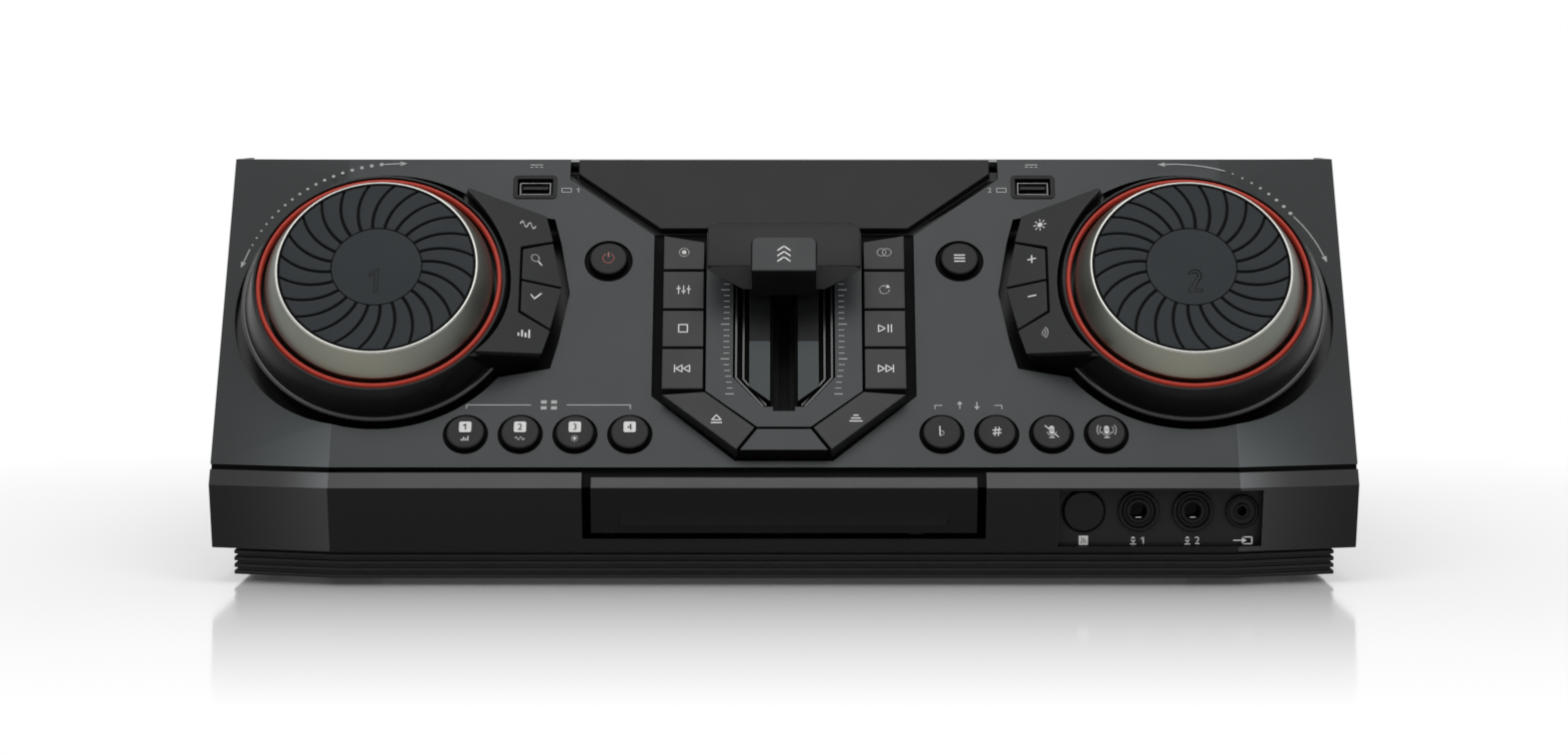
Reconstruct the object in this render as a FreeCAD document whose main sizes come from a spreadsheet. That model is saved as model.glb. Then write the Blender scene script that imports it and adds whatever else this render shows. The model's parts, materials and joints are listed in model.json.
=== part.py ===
import FreeCAD, Part
import Sketcher
import os
import re

# Driving sizes: millimetres, and degrees for the tilts. One block for each group of pieces.
SIZES = {
    # Cabinet outline
    "half_width": 235,
    "half_depth": 165,
    "fold_half": 185,
    "fold_set_back": 15,
    "return_depth": 40,
    "panel_tilt": 55,
    "panel_slope": 150.6,
    "panel_wall": 2.5,
    "lip_drop": 1,
    "seam_gap": 2,
    "bevel_drop": 6,
    "face_drop": 26.6,
    "face_undercut": 8.1,
    "bezel_wall": 3.6,
    "bezel_lip_wall": 2.4,
    "bezel_lip_rise": 1.6,
    "bezel_floor_wall": 2,
    "shell_gap": 0.4,
    "overrun": 6,
    # Plinth, chassis and feet
    "foot_height": 3,
    "foot_radius": 11,
    "foot_inset": 55,
    "plinth_height": 11.9,
    "plinth_inset": 8,
    "plinth_wall": 3,
    "plinth_ledge": 12,
    "plinth_ledge_wall": 2,
    "rib_depth": 1.2,
    "rib_height": 1.6,
    "rib_pitch": 2.8,
    "rib_count": 4,
    "chassis_wall": 1.2,
    "chassis_flange": 21,
    # Cover and rear panel
    "cover_wall": 1,
    "cover_tuck": 12,
    "cover_foot": 16,
    "rear_wall": 2,
    "rear_side_gap": 0.5,
    # Tray notch, jack recess
    "notch_half": 82,
    "notch_foot": 20.2,
    "jack_left": 111.3,
    "jack_right": 194.5,
    "jack_head": 40.4,
    "jack_floor": 10.5,
    "jack_block_wall": 2,
    "jack_block_back": 12.5,
    "jack_axis": 31.3,
    "sensor_x": 122,
    "mic_first_x": 144.4,
    "mic_second_x": 166.5,
    "aux_x": 186.5,
    "sensor_radius": 8.4,
    "sensor_proud": 1.4,
    "jack_collar_radius": 8.4,
    "jack_collar_proud": 2.2,
    "jack_barrel_radius": 6,
    "jack_barrel_length": 18,
    "mic_bore_radius": 3.2,
    "aux_collar_radius": 6.8,
    "aux_bore_radius": 1.8,
    "jack_bore_depth": 15,
    "jack_gap": 0.2,
    # Dials
    "dial_across": 167.4,
    "dial_rise": 80.2,
    "moat_radius": 62.3,
    "collar_radius": 57,
    "collar_top_radius": 52.2,
    "collar_height": 14.6,
    "collar_bore": 54.5,
    "housing_floor_radius": 64.5,
    "housing_floor_depth": 15,
    "housing_wall": 2,
    "deck_height": 4,
    "ring_inner": 48.7,
    "ring_outer": 51.2,
    "ring_seat": 51.4,
    "ring_ledge": 11.8,
    "ring_top": 15,
    "bowl_radius": 49.3,
    "bush_radius": 9,
    "dial_radius": 47.2,
    "dial_skirt_wall": 2.2,
    "dial_foot": 6.5,
    "dial_knee": 15,
    "dial_crown_radius": 41.6,
    "dial_crown": 26.2,
    "dial_rim": 0.9,
    "dial_pad_height": 1.8,
    "dial_plate_wall": 2.7,
    "dial_hub_radius": 8,
    "dial_hub_foot": 8,
    "dial_shaft_radius": 3,
    "dial_shaft_reach": 14,
    "pad_gap": 0.2,
    "pad_hub_radius": 17.8,
    "pad_groove": 0.8,
    "shaft_gap": 0.3,
    "encoder_radius": 8,
    "encoder_top": 3,
    # Pods beside the dials
    "pod_axis_height": 34.4,
    "pod_lean": 22,
    "pod_rise": 3.3,
    "pod_nose_reach": 75.2,
    "pod_shoulder_reach": 71,
    "pod_corner_reach": 68,
    "pod_root_reach": 36,
    "pod_shoulder_half": 21.5,
    "pod_corner_half": 33.7,
    "pod_root_half": 40,
    "pod_moat": 3,
    "pod_floor_margin": 6,
    "pod_cap": 3.2,
    "pod_cap_bore": 54.4,
    "pod_block": 17,
    "pod_key_inner": 58,
    "pod_key_inner_half": 15.6,
    "pod_stem_reach": 67.5,
    "pod_stem_half": 10,
    "rocker_stem_reach": 60,
    "rocker_stem_half": 27,
    "fulcrum_reach": 54.8,
    "pod_stem_end": 12,
    # Keys and buttons
    "key_gap": 0.9,
    "key_travel_gap": 1.2,
    "guide_gap": 0.3,
    "stem_half": 2.5,
    "switch_gap": 1.2,
    "button_radius": 7.8,
    "button_crown": 2.3,
    "button_edge": 0.5,
    "button_flange_radius": 10,
    "button_flange_wall": 1.5,
    "button_ring_radius": 9.25,
    "power_ring_radius": 10.1,
    "button_ring_depth": 1.2,
    "button_row": 15.5,
    "pad_row_start": 62.9,
    "tone_row_start": 64.4,
    "button_pitch": 22.35,
    "power_across": 73.4,
    "power_rise": 99.4,
    "stem_end": 14.2,
    # Centre console
    "console_top": 6,
    "console_half": 54.4,
    "console_head": 116,
    "console_shoulder": 33.6,
    "console_foot_half": 20,
    "console_foot": 3,
    "console_base_wall": 2.5,
    "console_margin": 5,
    "plate_half": 32.2,
    "plate_head": 110,
    "plate_shoulder": 32.6,
    "plate_foot_half": 11,
    "plate_foot": 15.6,
    "nose_foot_half": 18,
    "nose_foot": 4.8,
    "key_outer": 50.2,
    "key_inner_edge": 33.1,
    "column_foot": 33.6,
    "column_row_one": 53.8,
    "column_row_two": 72.3,
    "column_row_three": 91.5,
    "column_head": 109.2,
    "column_head_slant": 3.3,
    "corner_key_outer_v": 30.9,
    "corner_key_foot_half": 18.8,
    "key_floor": 1.3,
    "well_half": 20.9,
    "well_head": 106,
    "well_shoulder": 39.3,
    "well_foot_half": 9,
    "well_foot": 25.2,
    "well_floor": 2,
    "bar_inner": 5.6,
    "bar_outer": 14.4,
    "bar_top": 3.4,
    "bar_shoulder": 36.2,
    "bar_foot": 29.1,
    "bar_head": 104,
    "slot_half": 4.4,
    "slot_foot": 23.2,
    "slot_head": 108,
    # Lever
    "lever_head_half": 31.5,
    "lever_head_foot_half": 17,
    "lever_front": 80.2,
    "lever_length": 22.3,
    "lever_top": 26,
    "lever_edge": 3.5,
    "lever_floor": 8,
    "lever_corner": 4,
    "tab_half": 13.3,
    "tab_length": 13.6,
    "tab_proud": 1.4,
    "tab_nose": 3,
    "arm_half": 3.9,
    "arm_back": 98,
    "arm_front": 84,
    "arm_end": 12.3,
    "wiper_half": 1.8,
    "wiper_end": 17,
    "fader_half": 7,
    "fader_groove": 2.3,
    "fader_top": 12.6,
    "fader_foot": 22,
    "fader_head": 112,
    "fader_floor": 2,
    # Display
    "display_head_half": 87,
    "display_head": 149.6,
    "display_foot_half": 51.8,
    "display_foot": 114.6,
    "display_moat": 3.6,
    "display_proud": 1.5,
    # Sockets on the panel
    "usb_display_gap": 18.3,
    "usb_rise": 136.5,
    "usb_recess_half_width": 8.2,
    "usb_recess_half_height": 4.9,
    "usb_half_width": 6.6,
    "usb_half_height": 3.1,
    "usb_wall": 0.5,
    "usb_set_back": 1,
    "usb_depth": 13,
    "usb_tongue_half_width": 5.4,
    "usb_tongue_wall": 1.8,
    # Boards
    "board_depth": 20,
    "board_wall": 1.6,
    "board_side_gap": 9,
    "board_foot": 8,
    "board_head": 140,
    "boss_radius": 4,
    "boss_low_across": 76,
    "boss_low_rise": 34,
    "boss_high_across": 68,
    "boss_high_rise": 76,
    # Disc loader
    "door_half": 78.5,
    "door_head": 4.3,
    "door_foot": 18.9,
    "door_wall": 2.8,
    "door_seat_gap": 0.3,
    "tray_half": 70,
    "tray_front": 10,
    "tray_length": 185,
    "tray_floor": 26,
    "tray_wall": 8,
    "disc_radius": 61,
    "disc_recess": 4.8,
    "disc_set_back": 70,
    "tray_window_half": 22,
    "tray_window_front": 22,
    "tray_window_back": 66,
    "loader_half": 73.3,
    "loader_front": 20.6,
    "loader_reach": 205,
    "loader_floor": 10,
    "loader_floor_wall": 2,
    "loader_head": 39,
    "loader_leg": 14,
    "loader_ledge": 6,
    "loader_ledge_wall": 2,
    "slide_gap": 0.3,
    "bridge_half": 11,
    "bridge_wall": 2.4,
    "gear_module": 1,
    "gear_teeth": 20,
    "gear_set_back": 30,
    "gear_foot": 19,
    "gear_height": 6,
    "gear_pin_radius": 2,
    "gear_pin_head": 25.6,
    "gear_boss_radius": 5,
    "rack_line": 50,
    "rack_width": 6,
    "rack_front": 11,
    "rack_teeth": 52,
    "rack_height": 5,
    "turntable_radius": 15,
    "turntable_foot": 22.5,
    "turntable_wall": 2.5,
    "spindle_radius": 1.5,
    "spindle_foot": 13,
    "motor_radius": 11,
    "motor_height": 6,
    "rod_radius": 1.5,
    "rod_across": 16,
    "rod_height": 18,
    "rod_set_back": 16.5,
    "rod_length": 64.5,
    "rod_post": 4,
    "pickup_half": 20,
    "pickup_set_back": 18.5,
    "pickup_length": 19,
    "pickup_floor": 15,
    "pickup_height": 6.4,
    "lens_radius": 3.4,
    "lens_proud": 1,
    # Inner electronics
    "main_loader_gap": 14.7,
    "main_side_gap": 21,
    "main_back_gap": 15,
    "main_length": 180,
    "standoff": 6,
    "standoff_radius": 3.5,
    "standoff_inset": 8,
    "sink_width": 26,
    "sink_length": 120,
    "sink_base": 5,
    "sink_height": 46,
    "sink_fin": 2,
    "sink_fins": 5,
    "can_radius": 9,
    "can_height": 34,
    "core_width": 66,
    "core_length": 76,
    "core_height": 56,
    "core_coil": 8,
    "fan_half": 30,
    "fan_depth": 15,
    "fan_z": 92,
    "fan_bore": 28,
    "fan_rotor_radius": 26.5,
    "fan_hub_radius": 12,
    "fan_blade_wall": 1.4,
    "fan_blade_pitch": 38,
    "fan_blades": 7,
    "fan_spider_half": 2,
    "fan_spider_wall": 2.5,
    "fan_pin_radius": 1.5,
    "fan_rotor_gap": 0.6,
    "vent_radius": 3,
    "terminal_inset": 85,
    "terminal_width": 74,
    "terminal_height": 36,
    "terminal_z": 92,
    "socket_depth": 16,
    "socket_proud": 3.5,
    "socket_gap": 0.3,
    "terminal_mouth_width": 26,
    "terminal_mouth_height": 16,
    "phono_inset": 85,
    "phono_pitch": 16,
    "phono_z": 100,
    "phono_radius": 5,
    "phono_plate_edge": 4,
    "phono_bore": 1.7,
    "inlet_inset": 85,
    "inlet_z": 44,
    "inlet_width": 28,
    "inlet_height": 20,
    "inlet_bore_width": 22,
    "inlet_bore_height": 14,
    "inlet_depth": 12,
    "inlet_pin_radius": 1.6,
    "screw_radius": 1.5,
    "screw_head_radius": 3,
    "screw_head": 1.8,
    "screw_reach": 6,
    "screw_gap": 0.2,
    "screw_inset": 55,
}

document = FreeCAD.newDocument("mini_hifi")
sheet = document.addObject("Spreadsheet::Sheet", "sizes")
for row, (name, size) in enumerate(SIZES.items(), start=1):
    sheet.set(f"A{row}", name)
    sheet.set(f"B{row}", str(size))
    sheet.setAlias(f"B{row}", name)
document.recompute()

WORD = re.compile(r"[a-z][a-z_]*")
NODES = []


# Expressions: plain text with the names of the sheet.

def bind(text):
    def tie(found):
        return "sizes." + found[0] if found[0] in SIZES else found[0]
    return WORD.sub(tie, str(text))


def number(text):
    return float(sheet.evalExpression(bind(text)))


SIN = "sin(panel_tilt * 1 deg)"
COS = "cos(panel_tilt * 1 deg)"
TAN = "tan(panel_tilt * 1 deg)"
LEAN_COS = "cos(pod_lean * 1 deg)"
PLINTH_TOP = "(foot_height + plinth_height)"
NOSE_Y = "(0 - half_depth)"
NOSE_Z = f"({PLINTH_TOP} + face_drop)"
SEAM_Y = f"({NOSE_Y} + (bevel_drop + seam_gap) / {TAN})"
SEAM_Z = f"({NOSE_Z} + bevel_drop + seam_gap)"
TOP_Y = f"({SEAM_Y} + panel_slope * {COS})"
TOP_Z = f"({SEAM_Z} + panel_slope * {SIN})"
SKIN = f"(panel_wall / {SIN})"
LIP_TOP_V = f"((bezel_lip_rise + (panel_wall + bezel_lip_wall * {SIN}) * {COS}) / {SIN})"
CHASSIS_FLOOR = "(foot_height + plinth_ledge_wall)"
CHASSIS_TOP = f"({CHASSIS_FLOOR} + chassis_wall)"
DECK_DROP = "(lip_drop + panel_wall)"
DECK_Z = f"({TOP_Z} - {DECK_DROP})"
PAN_INSET = "(plinth_inset + plinth_wall + shell_gap)"
REAR_Y = f"(half_depth - {PAN_INSET} + rear_wall)"
JACK_FOOT = f"({PLINTH_TOP} + bezel_floor_wall)"
BEZEL_SPLIT = "((notch_half + jack_left) / 2)"
USB_X = "(display_head_half + usb_display_gap)"
BOARD_HALF = "(half_width - board_side_gap)"
DISC_Y = f"({NOSE_Y} + disc_set_back)"
GEAR_Y = f"({NOSE_Y} + gear_set_back)"
LOADER_BACK = f"({NOSE_Y} + loader_reach)"
ROD_FRONT = f"({DISC_Y} + rod_set_back)"
ROD_BACK = f"({ROD_FRONT} + rod_length)"
PICKUP_FRONT = f"({DISC_Y} + pickup_set_back)"
MAIN_LEFT = "(loader_half + main_loader_gap)"
MAIN_RIGHT = "(half_width - main_side_gap)"
MAIN_BACK = "(half_depth - main_back_gap)"
MAIN_FRONT = f"({MAIN_BACK} - main_length)"
TERMINAL_X = "(terminal_inset - half_width)"
PHONO_X = "(half_width - phono_inset)"
INLET_X = "(half_width - inlet_inset)"
SCREW_SPREAD = "(half_width - screw_inset)"


def vector(x, y, z):
    return f"create(<<vector>>; {x}; {y}; {z})"


def turn(axis, angle):
    return f"create(<<rotation>>; {vector(*axis)}; {angle})"


def place(x="0", y="0", z="0", turned=None):
    spin = turned or turn((0, 0, 1), "0")
    return f"create(<<placement>>; {vector(x, y, z)}; {spin})"


def panel_place(u="0", v="0", w="0", lean="0"):
    y = f"{SEAM_Y} + ({v}) * {COS} - ({w}) * {SIN}"
    z = f"{SEAM_Z} + ({v}) * {SIN} + ({w}) * {COS}"
    turned = turn((1, 0, 0), "panel_tilt") + " * " + turn((0, 1, 0), lean)
    return place(u, y, z, turned)


# Bodies, sketches and features.

def keep(thing, label):
    thing.Label = label
    NODES.append(thing)
    return thing


def loose_body(label, where=None):
    made = document.addObject("PartDesign::Body", label)
    if where:
        made.setExpression("Placement", bind(where))
    return made


def body(label, where=None):
    return keep(loose_body(label, where), label)


def sketch(part, where=None, plane="XY_Plane"):
    drawn = part.newObject("Sketcher::SketchObject", part.Name + "_sketch")
    origin = [item for item in part.Origin.OriginFeatures if item.Role == plane][0]
    drawn.AttachmentSupport = [(origin, "")]
    drawn.MapMode = "FlatFace"
    if where:
        drawn.setExpression("AttachmentOffset", bind(where))
    return drawn


def at_height(part, height):
    return sketch(part, place(z=height))


def pin(drawn, shape, end, x, y):
    for kind, text in (("DistanceX", x), ("DistanceY", y)):
        rule = drawn.addConstraint(Sketcher.Constraint(kind, -1, 1, shape, end, number(text)))
        drawn.setExpression(f"Constraints[{rule}]", bind(text))


def polygon(drawn, points):
    first = drawn.GeometryCount
    count = len(points)
    corners = [FreeCAD.Vector(number(x), number(y), 0) for x, y in points]
    for index, corner in enumerate(corners):
        drawn.addGeometry(Part.LineSegment(corner, corners[(index + 1) % count]), False)
    for index in range(count):
        after = first + (index + 1) % count
        drawn.addConstraint(Sketcher.Constraint("Coincident", first + index, 2, after, 1))
    for index, (x, y) in enumerate(points):
        pin(drawn, first + index, 1, x, y)
    return drawn


def rectangle(drawn, left, right, low, high):
    return polygon(drawn, [(left, low), (right, low), (right, high), (left, high)])


def circle(drawn, x, y, radius):
    centre = FreeCAD.Vector(number(x), number(y), 0)
    shape = drawn.addGeometry(Part.Circle(centre, FreeCAD.Vector(0, 0, 1), number(radius)), False)
    pin(drawn, shape, 3, x, y)
    rule = drawn.addConstraint(Sketcher.Constraint("Radius", shape, number(radius)))
    drawn.setExpression(f"Constraints[{rule}]", bind(radius))
    return drawn


def pad(part, drawn, length, down=False, middle=False):
    made = part.newObject("PartDesign::Pad", part.Name + "_pad")
    made.Profile = drawn
    made.setExpression("Length", bind(length))
    made.Reversed = down
    made.Midplane = middle
    return made


def slanted_pad(part, drawn, length, direction):
    made = pad(part, drawn, length)
    made.UseCustomVector = True
    made.AlongSketchNormal = False
    made.setExpression("Direction", bind(vector(*direction)))
    return made


def pocket(part, drawn, depth, up=False, middle=False):
    made = part.newObject("PartDesign::Pocket", part.Name + "_pocket")
    made.Profile = drawn
    made.setExpression("Length", bind(depth))
    made.Reversed = up
    made.Midplane = middle
    return made


def revolve(part, points):
    drawn = polygon(sketch(part, plane="XZ_Plane"), points)
    made = part.newObject("PartDesign::Revolution", part.Name + "_turned")
    made.Profile = drawn
    made.ReferenceAxis = (drawn, ["V_Axis"])
    return made


def block(label, size, where):
    made = document.addObject("Part::Box", label)
    for side, text in zip(("Length", "Width", "Height"), size):
        made.setExpression(side, bind(text))
    made.setExpression("Placement", bind(where))
    return made


def rod(label, radius, height, where):
    made = document.addObject("Part::Cylinder", label)
    made.setExpression("Radius", bind(radius))
    made.setExpression("Height", bind(height))
    made.setExpression("Placement", bind(where))
    return made


def group(label, pieces):
    made = document.addObject("Part::Compound", label)
    made.Links = pieces
    return keep(made, label)


# Outlines that several pieces share.

def folded(inset, front, back, fold_inset="0"):
    side = f"(half_width - {inset})"
    fold = f"({front} + fold_set_back)"
    crease = f"(fold_half - {fold_inset})"
    return [(f"0 - {side}", back), (f"0 - {side}", fold), (f"0 - {crease}", front),
            (crease, front), (side, fold), (side, back)]


def front_shell(wall, skin):
    back = "fold_set_back + return_depth"
    outer = folded("0", "0", back)
    inner = folded(wall, skin, back)
    return outer + inner[::-1]


def mirrored(points):
    return points + [(f"0 - ({x})", y) for x, y in reversed(points)]


def pod_outline(flip, margin="0", scale="1"):
    half = [("pod_root_reach", "pod_root_half"), ("pod_corner_reach", "pod_corner_half"),
            ("pod_shoulder_reach", "pod_shoulder_half")]
    upper = [(f"{flip} * ({x} + {margin}) * {scale}", f"{y} + {margin}") for x, y in half]
    nose = [(f"{flip} * (pod_nose_reach + {margin}) * {scale}", "0")]
    lower = [(x, f"0 - ({y})") for x, y in reversed(upper)]
    return upper + nose + lower


def console_outline(margin, head, foot):
    half = [(f"0 - (console_half + {margin})", head),
            (f"0 - (console_half + {margin})", f"console_shoulder - {margin} * 0.5"),
            (f"0 - (console_foot_half + {margin})", foot)]
    return mirrored(half)


# Front shells.

def control_panel():
    part = body("control_panel")
    shell = polygon(sketch(part, place(y=SEAM_Y, z=SEAM_Z)), front_shell("panel_wall", SKIN))
    slanted_pad(part, shell, "panel_slope", ("0", COS, SIN))
    lip = sketch(part, place(y=TOP_Y, z=f"{TOP_Z} - lip_drop"))
    polygon(lip, folded("0", f"{SKIN} * 0.5", "fold_set_back + return_depth"))
    pad(part, lip, "panel_wall", down=True)
    bosses = sketch(part, panel_place(w="0 - board_depth"))
    for side in ("", "0 - "):
        circle(bosses, side + "boss_low_across", "boss_low_rise", "boss_radius")
        circle(bosses, side + "boss_high_across", "boss_high_rise", "boss_radius")
    pad(part, bosses, "board_depth - panel_wall * 0.5")
    above = panel_place(w="overrun")
    deep = "overrun * 2 + panel_wall + fold_set_back"
    through = "overrun + panel_wall * 2"
    for flip in (1, -1):
        dial = f"0 - {flip} * dial_across"
        pocket(part, circle(sketch(part, above), dial, "dial_rise", "moat_radius"), deep)
        pod = sketch(part, panel_place(dial, "dial_rise + pod_rise", "overrun"))
        pocket(part, polygon(pod, pod_outline(flip, "pod_moat")), through)
    opening = console_outline("0", "console_head", "console_foot")
    pocket(part, polygon(sketch(part, above), opening), through)
    display = sketch(part, above)
    grown = [("0 - (display_head_half + display_moat)", "panel_slope + overrun"),
             ("0 - (display_head_half + display_moat)", "display_head - display_moat * 2.5"),
             ("0 - (display_foot_half + display_moat * 0.85)", "display_foot - display_moat * 0.6")]
    pocket(part, polygon(display, mirrored(grown)), "overrun + panel_wall + guide_gap")
    holes = sketch(part, above)
    rings = sketch(part, above)
    for across, rise, ring in button_places():
        circle(holes, across, rise, "button_radius + guide_gap")
        circle(rings, across, rise, ring)
    pocket(part, rings, "overrun + button_ring_depth")
    pocket(part, holes, through)
    sockets = sketch(part, above)
    for side in ("", "0 - "):
        centre = f"{side}{USB_X}"
        rectangle(sockets, f"{centre} - usb_recess_half_width", f"{centre} + usb_recess_half_width",
                  "usb_rise - usb_recess_half_height", "usb_rise + usb_recess_half_height")
    pocket(part, sockets, through)


def front_bezel():
    end = "(half_width + overrun)"
    group("front_bezel", [bezel_span("bezel_run", f"0 - {end}", BEZEL_SPLIT),
                          bezel_span("bezel_jack_end", BEZEL_SPLIT, end)])


def bezel_span(label, left, right):
    part = loose_body(label)
    shell = front_shell("bezel_wall", "bezel_wall")
    nose = place(y=NOSE_Y, z=NOSE_Z)
    slanted_pad(part, polygon(sketch(part, nose), shell), f"bevel_drop / {SIN}", ("0", COS, SIN))
    fall = "sqrt(face_drop ^ 2 + face_undercut ^ 2)"
    slanted_pad(part, polygon(sketch(part, nose), shell), fall, ("0", "face_undercut", "0 - face_drop"))
    lip = sketch(part, nose)
    rectangle(lip, "panel_wall - fold_half", "fold_half - panel_wall", SKIN, f"{SKIN} + bezel_lip_wall")
    rise = "(bevel_drop + seam_gap + bezel_lip_rise)"
    slanted_pad(part, lip, f"{rise} / {SIN}", ("0", COS, SIN))
    floor = sketch(part, place(y=f"{NOSE_Y} + face_undercut", z=PLINTH_TOP))
    back = "fold_set_back + return_depth"
    inset = "(plinth_inset + plinth_wall)"
    ledge = folded(inset, inset, back, f"{inset} * 0.2")
    polygon(floor, folded("bezel_wall * 0.5", "bezel_wall * 0.5", back) + ledge[::-1])
    pad(part, floor, "bezel_floor_wall")
    before = f"{NOSE_Y} - overrun"
    notch = sketch(part, plane="YZ_Plane")
    above = f"({NOSE_Z} + bevel_drop + overrun)"
    polygon(notch, [(before, "notch_foot"), (f"{NOSE_Y} + overrun * 3", "notch_foot"),
                    (f"{NOSE_Y} + overrun * 3", NOSE_Z), (f"{NOSE_Y} + {SKIN}", NOSE_Z),
                    (f"{NOSE_Y} + {SKIN} + (bevel_drop + overrun) / {TAN}", above), (before, above)])
    pocket(part, notch, "notch_half * 2", middle=True)
    recess = sketch(part, place(y=before, turned=FORWARD))
    rectangle(recess, "jack_left", "jack_right", JACK_FOOT, "jack_head")
    pocket(part, recess, "overrun + face_undercut + jack_block_back")
    top = f"({NOSE_Z} + {rise} + overrun)"
    trim = sketch(part, place(z=top))
    rectangle(trim, "0 - (half_width + overrun * 2)", left, "0 - half_depth * 2", "half_depth * 2")
    rectangle(trim, right, "half_width + overrun * 2", "0 - half_depth * 2", "half_depth * 2")
    pocket(part, trim, f"{top} + overrun")
    return part


def front_fittings():
    group("jack_plate", [jack_surround(), jack_backing()])
    jacks = [front_jack("mic_jack_one", "mic_first_x", "jack_collar_radius", "mic_bore_radius"),
             front_jack("mic_jack_two", "mic_second_x", "jack_collar_radius", "mic_bore_radius"),
             front_jack("aux_jack", "aux_x", "aux_collar_radius", "aux_bore_radius")]
    group("front_jacks", jacks)
    window = body("sensor_window", jack_place("sensor_x"))
    revolve(window, [("0", "0 - jack_barrel_length * 0.5"),
                     ("jack_barrel_radius", "0 - jack_barrel_length * 0.5"),
                     ("jack_barrel_radius", "0"), ("sensor_radius", "0"),
                     ("sensor_radius", "sensor_proud * 0.5"),
                     ("sensor_radius - sensor_proud * 0.5", "sensor_proud"), ("0", "sensor_proud")])


JACK_ENDS = ("(jack_left - jack_block_wall)", "(jack_right + jack_block_wall)")
FORWARD = turn((1, 0, 0), "90")


def jack_tub(label):
    plate = loose_body(label)
    tub = sketch(plate, place(y=NOSE_Y, z=NOSE_Z))
    left, right = JACK_ENDS
    fold_rate = "fold_set_back / (half_width - bezel_wall - fold_half)"
    polygon(tub, [(left, "bezel_wall"), ("fold_half", "bezel_wall"),
                  (right, f"bezel_wall + ({right} - fold_half) * {fold_rate}"),
                  (right, "jack_block_back"), (left, "jack_block_back")])
    fall = f"sqrt(face_drop ^ 2 + face_undercut ^ 2) * ({NOSE_Z} - {JACK_FOOT}) / face_drop"
    slanted_pad(plate, tub, fall, ("0", "face_undercut", "0 - face_drop"))
    return plate


def jack_face(plate, start):
    drawn = sketch(plate, place(y=start, turned=FORWARD))
    left, right = JACK_ENDS
    return rectangle(drawn, f"{left} - overrun", f"{right} + overrun", "0", f"{NOSE_Z} + overrun")


def jack_surround():
    plate = jack_tub("jack_surround")
    recess = sketch(plate, place(y=f"{NOSE_Y} - overrun", turned=FORWARD))
    rectangle(recess, "jack_left", "jack_right", f"{JACK_FOOT} - overrun", "jack_head")
    pocket(plate, recess, "overrun + jack_floor")
    pocket(plate, jack_face(plate, f"{NOSE_Y} + jack_floor"), "jack_block_back + face_undercut")
    return plate


def jack_backing():
    plate = jack_tub("jack_backing")
    pocket(plate, jack_face(plate, f"{NOSE_Y} - overrun"), "overrun + jack_floor")
    barrels = sketch(plate, place(y=f"{NOSE_Y} - overrun", turned=FORWARD))
    for across in ("sensor_x", "mic_first_x", "mic_second_x", "aux_x"):
        circle(barrels, across, "jack_axis", "jack_barrel_radius + jack_gap")
    pocket(plate, barrels, "overrun * 2 + face_undercut + jack_block_back")
    return plate


def jack_place(across):
    return place(across, f"{NOSE_Y} + jack_floor", "jack_axis", turn((1, 0, 0), "90"))


def front_jack(label, across, collar, bore):
    made = loose_body(label, jack_place(across))
    revolve(made, [("0", "0 - jack_barrel_length"), ("jack_barrel_radius", "0 - jack_barrel_length"),
                   ("jack_barrel_radius", "0"), (collar, "0"),
                   (collar, "jack_collar_proud * 0.6"),
                   (f"{collar} - jack_collar_proud * 0.4", "jack_collar_proud"),
                   (bore, "jack_collar_proud"), (bore, "jack_collar_proud - jack_bore_depth"),
                   ("0", "jack_collar_proud - jack_bore_depth")])
    return made


# Plinth, chassis, cover and rear panel.

def plinth_plan(inset):
    front = f"{NOSE_Y} + face_undercut + {inset}"
    return folded(inset, front, f"half_depth - {inset}", f"{inset} * 0.2")


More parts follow.
